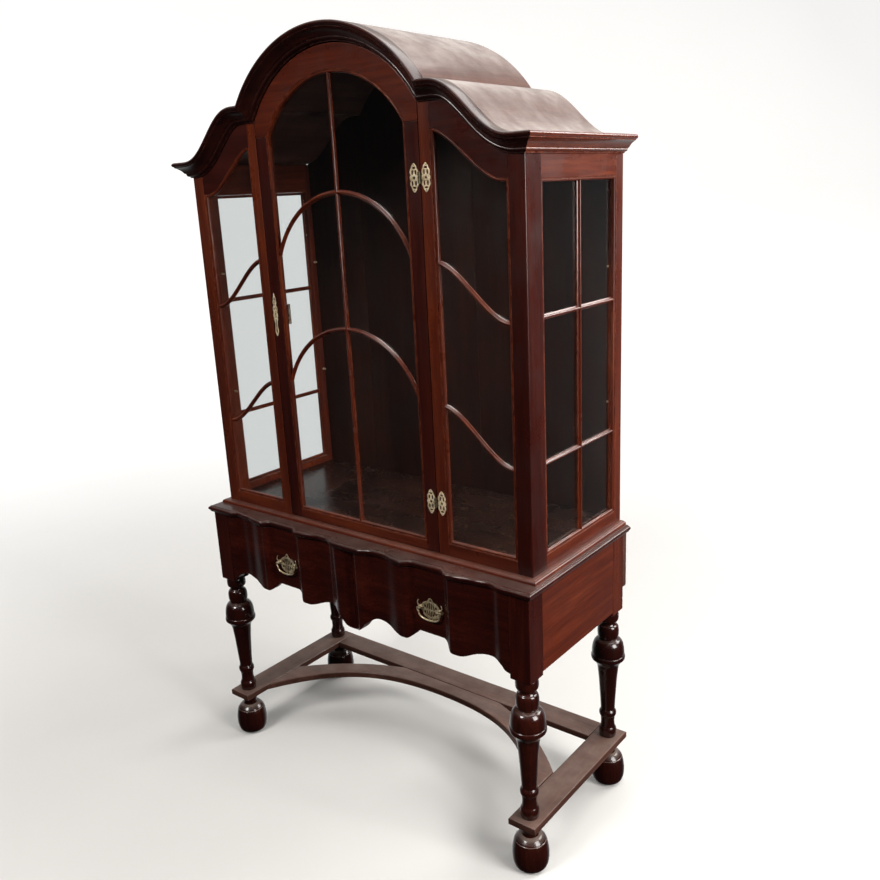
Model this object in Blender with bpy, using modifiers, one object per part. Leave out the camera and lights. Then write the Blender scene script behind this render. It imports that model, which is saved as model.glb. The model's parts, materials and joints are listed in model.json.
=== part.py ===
"""A glazed china cabinet on a turned-leg stand.

Metres, +Z up, the front faces -Y, and the origin is on the floor under the middle of the cabinet.
Depths are measured forward from the back of the case: fwd(depth) turns one into a Y coordinate.
"""

import math

import bmesh
import bpy
from mathutils import Matrix, Vector

# ---------------------------------------------------------------- driving dimensions
BACK = 0.2575  # Y of the back of the case
GAP = 0.0003  # clearance between pieces that touch

HALF = 0.550  # half width of the glazed case
DEPTH = 0.443  # its depth
WALL = 0.022  # thickness of its frames
BASE_LOW, BASE_TOP = 0.7873, 0.797  # straight base moulding under the glazed case
BASE_OUT = 0.018  # how far it stands out
FLOOR_TOP = 0.813  # inside floor

CORNICE_Z = 1.791  # top of the cornice at the corners
CORNICE_OUT = 0.039  # how far the cornice stands out
ARCH_R, ARCH_Z = 0.360, 1.712  # centre arch of the cornice and the height of its centre
SHOULDER_Z = 1.916  # top of the cyma shoulders
SHOULDER_X, SHOULDER_RUN = 0.310, 0.240
ROOF_THICK = 0.008

POST = 0.050  # face width of the corner posts
POST_SIDE = 0.071
REAR_STILE = 0.042
STILE_OUT = 0.311  # outer edge of the fixed panels' inner stiles
STILE_IN = 0.2722
STILE_TOP = 1.900
PANEL_SILL = 0.838
SIDE_SILL, SIDE_HEAD = 0.841, 1.690
GLASS = 0.003
MUNTIN = 0.012
REBATE = 0.0085  # width of the step cut in the frames' rear edges, where the panes sit
REBATE_IN = 0.0092  # depth from the outer face to that step
BITE = 0.0050  # how far a pane runs into its rebate
SIDE_PANE = 0.0115  # depth of the side panes' outer faces
PAST = 0.01  # how far a cutter runs past the wood

DOOR_HALF = 0.2702
DOOR_LOW = 0.7995
DOOR_SILL = 0.832
DOOR_R = 0.3155  # outside of the arched top rail, about the cornice arch's centre
DOOR_LIGHT = 0.224  # half width of the door's glass
LIGHT_R, LIGHT_Z = 0.260, 1.703  # the glass's arch
MUNTIN_R = 0.245
MUNTIN_ZS = (1.445, 1.107)  # centres of the two arched muntins
OGEE_TOPS = (1.524, 1.186)  # where the panels' cyma muntins start
HINGE_X, HINGE_FWD = 0.2707, DEPTH + 0.0045
HINGE_ZS = (1.713, 0.935)

WAIST_LOW, WAIST_TOP = 0.766, 0.787
STAND_HALF, STAND_DEPTH = 0.570, 0.495
NOSE_OUT = 0.012  # waist moulding beyond the stand
BLOCK = 0.058  # square top of a leg
LEG_X, LEG_FRONT, LEG_REAR = 0.541, 0.466, 0.048
BLOCK_LOW = 0.545
STRETCH_LOW, STRETCH_TOP, STRETCH_HALF = 0.132, 0.152, 0.0395

PULL_X, PULL_Z = 0.2665, 0.656
FRONT_BACK = 0.470  # depth of the drawer fronts' flat inner faces
DRAWER_TOP = 0.7637
BOX_LOW, BOX_TOP = 0.6050, 0.750
BOX_IN, BOX_OUT = 0.009, 0.499
RUNNER = (BOX_LOW - 0.0070, BOX_LOW - GAP)  # the ledges that the drawers slide on
APRON_LOW, APRON_BACK_LOW = 0.555, 0.610
BAIL_R, BAIL_POST = 0.0018, 0.030


def fwd(depth):
    return BACK - depth


# ---------------------------------------------------------------- scene and materials
for old in list(bpy.data.objects):
    bpy.data.objects.remove(old, do_unlink=True)

scene = bpy.context.scene
parts = bpy.data.collections.new("china_cabinet")
cutters = bpy.data.collections.new("cutters")
scene.collection.children.link(parts)
scene.collection.children.link(cutters)

LOOKS = {
    "mahogany": ((0.150, 0.036, 0.020), 0.30, 0.0),
    "mahogany_dark": ((0.075, 0.020, 0.014), 0.28, 0.0),
    "mahogany_dull": ((0.200, 0.105, 0.080), 0.55, 0.0),
    "interior_wood": ((0.220, 0.070, 0.030), 0.45, 0.0),
    "drawer_wood": ((0.420, 0.260, 0.140), 0.60, 0.0),
    "old_brass": ((0.560, 0.450, 0.240), 0.38, 1.0),
    "lock_steel": ((0.300, 0.260, 0.200), 0.45, 1.0),
    "glass": ((0.900, 0.930, 0.920), 0.03, 0.0),
}


def look(name, kind):
    """A material of this object's own, in one of the looks above."""
    colour, roughness, metallic = LOOKS[kind]
    made = bpy.data.materials.new(name)
    made.use_nodes = True
    shader = made.node_tree.nodes["Principled BSDF"]
    shader.inputs["Base Color"].default_value = (*colour, 1.0)
    shader.inputs["Roughness"].default_value = roughness
    shader.inputs["Metallic"].default_value = metallic
    if kind == "glass":
        shader.inputs["Transmission Weight"].default_value = 0.9
    return made


# ---------------------------------------------------------------- modelling helpers
def place(name, data, kind, location=(0, 0, 0), rotation=(0, 0, 0), group=None):
    obj = bpy.data.objects.new(name, data)
    (group or parts).objects.link(obj)
    obj.location = location
    obj.rotation_euler = rotation
    if group is cutters:
        obj.hide_render = True
        obj.display_type = "WIRE"
    elif kind:
        data.materials.append(look(name, kind))
    return obj


def box(name, xs, depths, zs, kind=None, group=None, bevel=0.0):
    """A board between two x, two depths from the back and two heights."""
    ys = sorted(fwd(d) for d in depths)
    xs, zs = sorted(xs), sorted(zs)
    size = (xs[1] - xs[0], ys[1] - ys[0], zs[1] - zs[0])
    bm = bmesh.new()
    bmesh.ops.create_cube(bm, size=1.0, matrix=Matrix.Diagonal((*size, 1.0)))
    mesh = bpy.data.meshes.new(name)
    bm.to_mesh(mesh)
    bm.free()
    centre = (sum(xs) / 2, sum(ys) / 2, sum(zs) / 2)
    obj = place(name, mesh, kind, centre, group=group)
    if bevel:
        ease(obj, bevel)
    return obj


TURNS = {"XY": (0, 0, 0), "XZ": (math.pi / 2, 0, 0), "YZ": (math.pi / 2, 0, math.pi / 2)}


def board(name, loops, plane, across, kind=None, group=None):
    """A flat outline (and holes) cut from a sheet: plane XY, XZ or YZ, between two values across it."""
    curve = bpy.data.curves.new(name, "CURVE")
    curve.dimensions = "2D"
    curve.fill_mode = "BOTH"
    curve.extrude = abs(across[1] - across[0]) / 2
    for loop in loops:
        spline = curve.splines.new("POLY")
        spline.points.add(len(loop) - 1)
        for point, (u, v) in zip(spline.points, loop):
            point.co = (u, v, 0, 1)
        spline.use_cyclic_u = True
    middle = sum(across) / 2
    spot = {"XY": (0, 0, middle), "XZ": (0, middle, 0), "YZ": (middle, 0, 0)}[plane]
    return place(name, curve, kind, spot, TURNS[plane], group)


def to_mesh(obj):
    """The curve or modified object as a plain closed mesh, in the same place."""
    bpy.context.view_layer.update()
    graph = bpy.context.evaluated_depsgraph_get()
    mesh = bpy.data.meshes.new_from_object(obj.evaluated_get(graph))
    bm = bmesh.new()
    bm.from_mesh(mesh)
    bmesh.ops.remove_doubles(bm, verts=bm.verts, dist=0.00001)
    bmesh.ops.recalc_face_normals(bm, faces=bm.faces)
    bm.to_mesh(mesh)
    bm.free()
    name, group = obj.name, obj.users_collection[0]
    made = bpy.data.objects.new(name, mesh)
    group.objects.link(made)
    made.matrix_world = obj.matrix_world.copy()
    made.hide_render, made.display_type = obj.hide_render, obj.display_type
    bpy.data.objects.remove(obj, do_unlink=True)
    made.name = name
    return made


def combine(obj, other, operation="DIFFERENCE"):
    """A Boolean whose second object joins the cutters."""
    modifier = obj.modifiers.new(operation.title(), "BOOLEAN")
    modifier.operation = operation
    modifier.object = other
    other.hide_render = True
    other.display_type = "WIRE"
    if other.name in parts.objects:
        parts.objects.unlink(other)
        cutters.objects.link(other)
    return obj


def ease(obj, width, angle=30):
    modifier = obj.modifiers.new("Eased edges", "BEVEL")
    modifier.width = width
    modifier.segments = 1
    modifier.limit_method = "ANGLE"
    modifier.angle_limit = math.radians(angle)
    return obj


def turned(name, profile, kind, location, segments=16):
    """A turning: (radius, height) pairs from top to bottom, closed on the axis at both ends."""
    mesh = bpy.data.meshes.new(name)
    bm = bmesh.new()
    points = [(0.0, profile[0][1]), *profile, (0.0, profile[-1][1])]
    ring = [bm.verts.new((r, 0, z)) for r, z in points]
    for one, two in zip(ring, ring[1:]):
        bm.edges.new((one, two))
    bm.to_mesh(mesh)
    bm.free()
    obj = place(name, mesh, kind, location)
    screw = obj.modifiers.new("Turning", "SCREW")
    screw.steps = screw.render_steps = segments
    screw.use_merge_vertices = True
    screw.merge_threshold = 0.0001
    screw.use_smooth_shade = True
    return obj


def axis_empty(name, location, parent=None):
    empty = bpy.data.objects.new(name, None)
    parts.objects.link(empty)
    empty.empty_display_size = 0.05
    empty.location = location
    if parent:
        attach(empty, parent)
    return empty


def attach(obj, parent):
    bpy.context.view_layer.update()
    obj.parent = parent
    obj.matrix_parent_inverse = parent.matrix_world.inverted()


def copy_mirrored(points, sign):
    """The outline on the left (sign -1) or the right, in the same winding."""
    return [(sign * u, v) for u, v in points][::sign]


# ---------------------------------------------------------------- curves of the design
def ease_curve(t):
    t = min(max(t, 0.0), 1.0)
    return t * t * (3 - 2 * t)


def soft_curve(t):
    t = min(max(t, 0.0), 1.0)
    return t**3 * (6 * t * t - 15 * t + 10)


def blend(knots, u):
    """Values that ease from one (position, value) pair to the next."""
    for (u0, v0), (u1, v1) in zip(knots, knots[1:]):
        if u <= u1:
            return v0 + (v1 - v0) * ease_curve((u - u0) / (u1 - u0))
    return knots[-1][1]


def shoulder_z(x):
    return SHOULDER_Z - (SHOULDER_Z - CORNICE_Z) * soft_curve((x - SHOULDER_X) / SHOULDER_RUN)


def crown(half, arch_steps=11, shoulder_steps=12):
    """The top outline from right to left, at this half width: corner, shoulder, arch, shoulder, corner."""
    meet = math.sqrt(ARCH_R**2 - (SHOULDER_Z - ARCH_Z) ** 2)
    right = [(half, CORNICE_Z)]
    for i in range(shoulder_steps + 1):
        x = SHOULDER_X + SHOULDER_RUN * (1 - i / shoulder_steps)
        if x < half - 0.004:
            right.append((x, shoulder_z(x)))
    right.append((meet, SHOULDER_Z))
    start = math.acos(meet / ARCH_R)
    for i in range(1, arch_steps):
        angle = start + (math.pi / 2 - start) * i / arch_steps
        right.append((ARCH_R * math.cos(angle), ARCH_Z + ARCH_R * math.sin(angle)))
    return right + [(0.0, ARCH_Z + ARCH_R)] + [(-x, z) for x, z in reversed(right)]


def inset(path, distance):
    """The open path moved to its inner side (left of right-to-left travel), mitred at each corner."""
    moved = []
    for i, point in enumerate(path):
        here = Vector(point)
        before = (here - Vector(path[i - 1])).normalized() if i else None
        after = (Vector(path[i + 1]) - here).normalized() if i + 1 < len(path) else None
        before, after = before or after, after or before
        side = [Vector((-d.y, d.x)) for d in (before, after)]
        mean = (side[0] + side[1]).normalized()
        moved.append(tuple(here + mean * distance / max(mean.dot(side[0]), 0.3)))
    return moved


def clip(path, low, high):
    """The stretch of a right-to-left path between two x values."""
    kept = []
    for (x0, z0), (x1, z1) in zip(path, path[1:]):
        for limit in (high, low):
            if min(x0, x1) < limit < max(x0, x1):
                share = (limit - x0) / (x1 - x0)
                kept.append((limit, z0 + (z1 - z0) * share))
        if low <= x1 <= high:
            kept.append((x1, z1))
    if low <= path[0][0] <= high:
        kept.insert(0, path[0])
    return sorted(set(kept), key=lambda p: -p[0])


def panel_head(x):
    return 1.811 - 0.117 * ease_curve((x - 0.29) / 0.205)


def cyma(x, top):
    return top - 0.132 * ease_curve((x - 0.295) / 0.21)


def band(points, width):
    """A closed strip of this width along an open path."""
    one = inset(points, width / 2)
    two = inset(points, -width / 2)
    return one + two[::-1]


def arc(radius, centre_z, half, steps):
    """Points of an arch from x = half to x = -half."""
    start = math.acos(half / radius)
    end = math.pi - start
    angles = [start + (end - start) * i / steps for i in range(steps + 1)]
    return [(radius * math.cos(a), centre_z + radius * math.sin(a)) for a in angles]


# Cornice profile: (down from the top edge, out from the case), from the back of the top to the foot.
CORNICE = (
    (0.0, 0.0), (0.0, 0.036), (0.005, 0.039), (0.0105, 0.0375), (0.0145, 0.0335), (0.0185, 0.0245),
    (0.0290, 0.0150), (0.0315, 0.0115), (0.0370, 0.0095), (0.0420, 0.0035), (0.0420, 0.0),
)


def loft(name, rings, kind):
    """A solid through closed rings that all have the same number of points."""
    bm = bmesh.new()
    made = [[bm.verts.new(p) for p in ring] for ring in rings]
    count = len(rings[0])
    for one, two in zip(made, made[1:]):
        for i in range(count):
            j = (i + 1) % count
            bm.faces.new((one[i], one[j], two[j], two[i]))
    bm.faces.new(made[0][::-1])
    bm.faces.new(made[-1])
    bmesh.ops.recalc_face_normals(bm, faces=bm.faces)
    mesh = bpy.data.meshes.new(name)
    bm.to_mesh(mesh)
    bm.free()
    return place(name, mesh, kind)


# ---------------------------------------------------------------- stand: feet, stretchers, legs
FOOT = [
    (0.0225, 0.1317), (0.0242, 0.1250), (0.0235, 0.1060), (0.0222, 0.0990), (0.0300, 0.0955),
    (0.0390, 0.0868), (0.0408, 0.0840), (0.0440, 0.0735), (0.0470, 0.0570), (0.0478, 0.0420),
    (0.0468, 0.0260), (0.0424, 0.0110), (0.0320, 0.0022), (0.0220, 0.0),
]
LEG = [
    (0.0245, 0.5400), (0.0285, 0.5295), (0.0285, 0.5225), (0.0232, 0.5150), (0.0205, 0.5085),
    (0.0262, 0.5010), (0.0292, 0.4900), (0.0293, 0.4800), (0.0262, 0.4620), (0.0345, 0.4570),
    (0.0405, 0.4480), (0.0440, 0.4340), (0.0452, 0.4180), (0.0466, 0.4100), (0.0468, 0.4040),
    (0.0450, 0.3975), (0.0330, 0.3850), (0.0288, 0.3700), (0.0252, 0.3350), (0.0206, 0.2600),
    (0.0197, 0.2370), (0.0236, 0.2290), (0.0240, 0.2200), (0.0203, 0.2130), (0.0190, 0.2000),
    (0.0200, 0.1880), (0.0236, 0.1760), (0.0243, 0.1640), (0.0235, 0.1523),
]
CORNERS = {
    "front_left": (-LEG_X, LEG_FRONT), "front_right": (LEG_X, LEG_FRONT),
    "rear_left": (-LEG_X, LEG_REAR), "rear_right": (LEG_X, LEG_REAR),
}

for corner, (x, depth) in CORNERS.items():
    turned("foot_" + corner, FOOT, "mahogany_dark", (x, fwd(depth), 0))
    # The turning starts inside the square block, so that the two join into one leg.
    turning = turned("turning_" + corner, [(0.0200, 0.5600), *LEG], None, (x, fwd(depth), 0))
    half = BLOCK / 2
    block = box(
        "leg_" + corner, (x - half, x + half), (depth - half, depth + half),
        (BLOCK_LOW, WAIST_LOW - GAP), "mahogany_dark", bevel=0.0008,
    )
    combine(block, turning, "UNION")

side = (LEG_X - STRETCH_HALF, LEG_X + STRETCH_HALF)
ends = (LEG_REAR - 0.0400, LEG_FRONT + 0.0400)
for word, sign in (("left", -1), ("right", 1)):
    box(
        "stretcher_" + word, (sign * side[0], sign * side[1]), ends,
        (STRETCH_LOW, STRETCH_TOP), "mahogany_dull", bevel=0.0015,
    )
inner = side[0] - GAP
box(
    "stretcher_back", (-inner, inner), (LEG_REAR - STRETCH_HALF, LEG_REAR + STRETCH_HALF),
    (STRETCH_LOW, STRETCH_TOP), "mahogany_dull", bevel=0.0015,
)


def bow(x, apex, square, fourth):
    return apex + square * x * x + fourth * x**4


steps = [inner * (1 - 2 * i / 36) for i in range(37)]
bow_front = [(x, fwd(bow(x, 0.135, 0.470, 2.68))) for x in steps]
touch = LEG_REAR + STRETCH_HALF + GAP
bow_rear = [(x, fwd(max(bow(x, 0.060, 0.760, 0.528), touch))) for x in steps]
board(
    "stretcher_bow", [bow_front + bow_rear[::-1]], "XY", (STRETCH_LOW, STRETCH_TOP), "mahogany_dull",
)

# ---------------------------------------------------------------- stand: aprons, runners, divider
block_in = LEG_X - BLOCK / 2 - GAP
side_run = (LEG_REAR + BLOCK / 2 + GAP, LEG_FRONT - BLOCK / 2 - GAP)
for word, sign in (("left", -1), ("right", 1)):
    apron = box(
        "apron_" + word, (sign * (STAND_HALF - 0.022), sign * STAND_HALF), side_run,
        (APRON_LOW, WAIST_LOW - GAP), "mahogany",
    )
    ledge = box(
        "runner_" + word, (sign * (BOX_OUT - 0.012), sign * (STAND_HALF - 0.015)),
        (side_run[0] + 0.002, side_run[1] - 0.002), RUNNER, group=cutters,
    )
    combine(apron, ledge, "UNION")
box(
    "apron_back", (-STAND_HALF, STAND_HALF), (0.001, LEG_REAR - BLOCK / 2 - GAP),
    (APRON_BACK_LOW, WAIST_LOW - GAP), "mahogany",
)
divider = box(
    "drawer_divider", (-0.0055, 0.0055), (0.0195, FRONT_BACK - 0.0006),
    (0.600, WAIST_LOW - GAP), "drawer_wood",
)
flange = box(
    "divider_flange", (-0.040, 0.040), (0.0215, FRONT_BACK - 0.0010), RUNNER, group=cutters,
)
combine(divider, flange, "UNION")

# ---------------------------------------------------------------- waist moulding
# How far the fronts lie behind (+) or ahead of (-) the corner blocks, by distance from a pull's centre.
INNER_WAVE = [
    (0.0, 0.010), (0.044, 0.010), (0.074, -0.008), (0.088, -0.006), (0.155, 0.007), (0.178, 0.006),
    (0.222, -0.009), (0.238, -0.008), (0.2665, 0.006),
]
OUTER_WAVE = [
    (0.0, 0.010), (0.044, 0.010), (0.074, -0.008), (0.088, -0.006), (0.150, 0.004), (0.190, 0.009),
    (0.222, 0.0), (0.270, 0.0),
]
NOSE_WAVE = INNER_WAVE[:-2] + [(0.2665, -0.010)]


def wave(x, inner_knots=INNER_WAVE):
    away = abs(x) - PULL_X
    return blend(OUTER_WAVE, away) if away > 0 else blend(inner_knots, -away)


# A drawer front's lower edge, from the ends of the flat below a pull, toward the middle and toward the leg.
FLAT_HALF, FLAT_Z = 0.040, 0.5865
INNER_EDGE = [
    (0.0400, 0.5865), (0.0535, 0.5760), (0.0625, 0.5678), (0.0720, 0.5625), (0.0900, 0.5600),
    (0.1020, 0.5608), (0.1190, 0.5650), (0.1360, 0.5712), (0.1510, 0.5760), (0.1670, 0.5798),
    (0.1800, 0.5805), (0.1920, 0.5785), (0.2050, 0.5715), (0.2200, 0.5600), (0.2330, 0.5455),
    (0.2430, 0.5360), (0.2530, 0.5290), (0.2600, 0.5260), (0.2665, 0.5250),
]
OUTER_EDGE = [
    (0.0400, 0.5865), (0.0535, 0.5760), (0.0625, 0.5678), (0.0720, 0.5625), (0.0900, 0.5600),
    (0.1050, 0.5615), (0.1200, 0.5665), (0.1350, 0.5730), (0.1500, 0.5785), (0.1680, 0.5822),
    (0.1850, 0.5820), (0.2050, 0.5785), (0.2200, 0.5715), (0.2300, 0.5610), (0.2450, 0.5560),
]


def smooth_height(knots, u):
    """The height at u of a smooth curve through the (position, height) knots."""
    u = min(max(u, knots[0][0]), knots[-1][0])
    last = len(knots) - 1
    i = max(k for k in range(last) if knots[k][0] <= u)
    (u0, v0), (u1, v1) = knots[i], knots[i + 1]
    before, after = knots[max(i - 1, 0)], knots[min(i + 2, last)]
    run, t = u1 - u0, (u - u0) / (u1 - u0)
    start = (v1 - before[1]) / (u1 - before[0]) * run
    end = (after[1] - v0) / (after[0] - u0) * run
    return v0 + start * t + (3 * (v1 - v0) - 2 * start - end) * t * t + (2 * (v0 - v1) + start + end) * t**3


def scallop(x):
    """Height of a drawer front's lower edge."""
    away = abs(x) - PULL_X
    if abs(away) <= FLAT_HALF:
        return FLAT_Z
    return smooth_height(OUTER_EDGE if away > 0 else INNER_EDGE, abs(away))


edge = STAND_HALF + NOSE_OUT
count = 110
nose_xs = [edge * (1 - 2 * i / count) for i in range(count + 1)]
nose = [(x, fwd(STAND_DEPTH + NOSE_OUT - (wave(x, NOSE_WAVE) if abs(x) < 0.55 else 0.0))) for x in nose_xs]
board("waist_moulding", [nose + [(-edge, BACK), (edge, BACK)]], "XY", (WAIST_LOW, WAIST_TOP), "mahogany")

# ---------------------------------------------------------------- drawers
# Pierced back plate: half of its lobed outline, from the bottom tip up to the top tip.
PLATE = [
    (0.0000, -0.0333), (0.0060, -0.0297), (0.0100, -0.0243), (0.0190, -0.0212), (0.0270, -0.0144),
    (0.0300, -0.0077), (0.0385, -0.0059), (0.0415, 0.0000), (0.0405, 0.0054), (0.0350, 0.0077),
    (0.0290, 0.0108), (0.0230, 0.0180), (0.0120, 0.0216), (0.0070, 0.0270), (0.0000, 0.0333),
]
HOLE = [(-0.0050, 0.0), (0.0, -0.0035), (0.0050, 0.0), (0.0, 0.0035)]
HOLE_SPOTS = [(0, 0.018), (0, -0.018), (0.011, 0.009), (-0.011, 0.009), (0.011, -0.009), (-0.011, -0.009)]

slides = {}
for word, sign in (("left", -1), ("right", 1)):
    slide = axis_empty("slide_" + word, (sign * PULL_X, fwd(FRONT_BACK), PULL_Z))
    low_x, high_x = 0.0006, block_in
    samples = [low_x + (high_x - low_x) * i / 56 for i in range(57)]
    plan = [(x, fwd(STAND_DEPTH - 0.001 - wave(x))) for x in samples]
    plan += [(high_x, fwd(FRONT_BACK)), (low_x, fwd(FRONT_BACK))]
    rise = [(low_x - 0.01, scallop(low_x))] + [(x, scallop(x)) for x in samples[1:-1]]
    rise += [(high_x + 0.01, scallop(high_x)), (high_x + 0.01, DRAWER_TOP), (low_x - 0.01, DRAWER_TOP)]
    front = board("drawer_front_" + word, [copy_mirrored(plan, sign)], "XY", (0.50, 0.80), "mahogany")
    front = to_mesh(front)
    through = (fwd(STAND_DEPTH + 0.055), fwd(FRONT_BACK - 0.020))
    shape = board("scallop_" + word, [copy_mirrored(rise, sign)], "XZ", through, group=cutters)
    shape = to_mesh(shape)
    combine(front, shape, "INTERSECT")
    attach(front, slide)

    depths = (0.075, FRONT_BACK - GAP)
    tray_xs = (sign * BOX_IN, sign * BOX_OUT)
    tray = box("drawer_box_" + word, tray_xs, depths, (BOX_LOW, BOX_TOP), "drawer_wood")
    hollow = box(
        "hollow_" + word, (sign * (BOX_IN + 0.009), sign * (BOX_OUT - 0.009)),
        (depths[0] + 0.009, depths[1] - 0.009), (BOX_LOW + 0.007, BOX_TOP + 0.01), group=cutters,
    )
    combine(tray, hollow)
    attach(tray, slide)

    face = STAND_DEPTH - 0.001 - 0.010  # depth of the flat recess behind the pull
    centre = sign * PULL_X
    outline = PLATE + [(-x, z) for x, z in PLATE[-2:0:-1]]
    loops = [[(centre + x, PULL_Z + z) for x, z in outline]]
    for u, v in HOLE_SPOTS:
        loops.append([(centre + u + x, PULL_Z + v + z) for x, z in HOLE[::-1]])
    sheet = (fwd(face + 0.0017), fwd(face + GAP))
    plate = to_mesh(board("pull_plate_" + word, loops, "XZ", sheet, "old_brass"))
    pivot = Vector((centre, fwd(face + 0.0095), PULL_Z + 0.003))
    for tag, spot in (("a", -BAIL_POST), ("b", BAIL_POST)):
        bm = bmesh.new()
        bmesh.ops.create_cone(bm, cap_ends=True, segments=12, radius1=0.0036, radius2=0.0030, depth=0.0135)
        mesh = bpy.data.meshes.new("post")
        bm.to_mesh(mesh)
        bm.free()
        post = place(
            f"post_{word}_{tag}", mesh, None,
            (centre + spot, fwd(face + 0.0013 + 0.00675), pivot.z), (math.pi / 2, 0, 0), cutters,
        )
        combine(plate, post, "UNION")
    bm = bmesh.new()
    bmesh.ops.create_cone(
        bm, cap_ends=True, segments=16, radius1=0.00190, radius2=0.00190, depth=0.10,
        matrix=Matrix.Rotation(math.pi / 2, 4, "Y"),
    )
    mesh = bpy.data.meshes.new("bore")
    bm.to_mesh(mesh)
    bm.free()
    combine(plate, place("bail_bore_" + word, mesh, None, pivot, group=cutters))
    attach(plate, slide)

    curve = bpy.data.curves.new("bail_" + word, "CURVE")
    curve.dimensions = "3D"
    curve.bevel_depth = BAIL_R
    curve.bevel_resolution = 2
    curve.use_fill_caps = True
    wire = [(-BAIL_POST, 0.0), (-0.0362, 0.0), (-0.0385, -0.0018), (-0.0385, -0.0060)]
    for i in range(9):
        angle = math.pi * (1 + i / 8)
        reach = 0.0345 - 0.004 * abs(math.cos(angle)) ** 4
        wire.append((reach * math.cos(angle) * 1.10, -0.0115 + 0.0175 * math.sin(angle)))
    wire += [(0.0385, -0.0060), (0.0385, -0.0018), (0.0362, 0.0), (BAIL_POST, 0.0)]
    spline = curve.splines.new("POLY")
    spline.points.add(len(wire) - 1)
    for point, (x, z) in zip(spline.points, wire):
        point.co = (x, 0, z, 1)
    bail = place("bail_" + word, curve, "old_brass", pivot)
    attach(bail, slide)
    slides[word] = slide

# ---------------------------------------------------------------- glazed case: base, posts, sides, back
base = box(
    "case_base", (-HALF - BASE_OUT, HALF + BASE_OUT), (0.0, DEPTH + BASE_OUT),
    (BASE_LOW, BASE_TOP), "mahogany", bevel=0.002,
)
inside = box(
    "case_floor", (-(HALF - WALL - GAP), HALF - WALL - GAP), (0.0192, DEPTH - WALL - GAP),
    (BASE_TOP - 0.004, FLOOR_TOP), group=cutters,
)
combine(base, inside, "UNION")

foot_z = BASE_TOP + GAP
post_in = HALF - POST - GAP
rebate_ys = (fwd(DEPTH - REBATE_IN), fwd(DEPTH - WALL - PAST))
rebate_xs = [STILE_OUT - REBATE + (post_in + 2 * REBATE - STILE_OUT) * i / 20 for i in range(21)]
panel_rebate = [(rebate_xs[0], PANEL_SILL - REBATE)] + [(x, panel_head(x) + REBATE) for x in rebate_xs]
panel_rebate.append((rebate_xs[-1], PANEL_SILL - REBATE))
for word, sign in (("left", -1), ("right", 1)):
    corner = [
        (HALF - 0.0035, fwd(DEPTH)), (HALF - 0.0010, fwd(DEPTH - 0.0010)),
        (HALF, fwd(DEPTH - 0.0035)), (HALF, fwd(DEPTH - POST_SIDE)), (HALF - WALL, fwd(DEPTH - POST_SIDE)),
        (HALF - WALL, fwd(DEPTH - WALL)), (HALF - POST, fwd(DEPTH - WALL)), (HALF - POST, fwd(DEPTH)),
    ]
    post = board("corner_post_" + word, [copy_mirrored(corner, sign)], "XY", (foot_z, 1.7805), "mahogany")

    front_y, rear_y = fwd(DEPTH - POST_SIDE - GAP), BACK
    frame = [
        (front_y, foot_z), (rear_y, foot_z), (rear_y, 1.7805), (front_y, 1.7805),
        (front_y, SIDE_HEAD), (fwd(REAR_STILE), SIDE_HEAD), (fwd(REAR_STILE), SIDE_SILL),
        (front_y, SIDE_SILL),
    ]
    sides = board("side_frame_" + word, [frame], "YZ", (sign * (HALF - WALL), sign * HALF), "mahogany")
    step = box(
        "side_rebate_" + word, (sign * (HALF - WALL - PAST), sign * (HALF - SIDE_PANE + GAP)),
        (REAR_STILE - REBATE, DEPTH - POST_SIDE + REBATE), (SIDE_SILL - REBATE, SIDE_HEAD + REBATE),
        group=cutters,
    )
    sides = to_mesh(sides)
    combine(sides, step)
    front_step = board(
        "post_rebate_" + word, [copy_mirrored(panel_rebate, sign)], "XZ", rebate_ys, group=cutters,
    )
    post = to_mesh(post)
    combine(post, step)
    combine(post, to_mesh(front_step))

    pane = (fwd(DEPTH - POST_SIDE - 0.0006), fwd(REAR_STILE + GAP))
    middle = sum(pane) / 2
    out = sign * (HALF - SIDE_PANE)
    box(
        "side_glass_" + word, (out, out - sign * GLASS), (BACK - pane[0] + BITE, BACK - pane[1] - BITE),
        (SIDE_SILL - BITE, SIDE_HEAD + BITE), "glass",
    )
    bar = MUNTIN / 2
    grid = box(
        "side_muntins_" + word, (out + sign * GAP, out + sign * 0.0100),
        (BACK - middle - bar, BACK - middle + bar),
        (SIDE_SILL + GAP, SIDE_HEAD - GAP), "mahogany",
    )
    for i, z in enumerate((1.058, 1.400)):
        cross = box(
            f"side_bar_{word}_{i}", (out + sign * (GAP + 0.0004), out + sign * 0.0096),
            (BACK - pane[0], BACK - pane[1]), (z - bar, z + bar), group=cutters,
        )
        combine(grid, cross, "UNION")

under = inset(crown(HALF), ROOF_THICK + GAP)
back_half = HALF - WALL - GAP
back_top = clip(under, -back_half, back_half)
board(
    "back_panel", [back_top + [(-back_half, foot_z), (back_half, foot_z)]], "XZ",
    (fwd(0.0188), fwd(0.0005)), "interior_wood",
)

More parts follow.
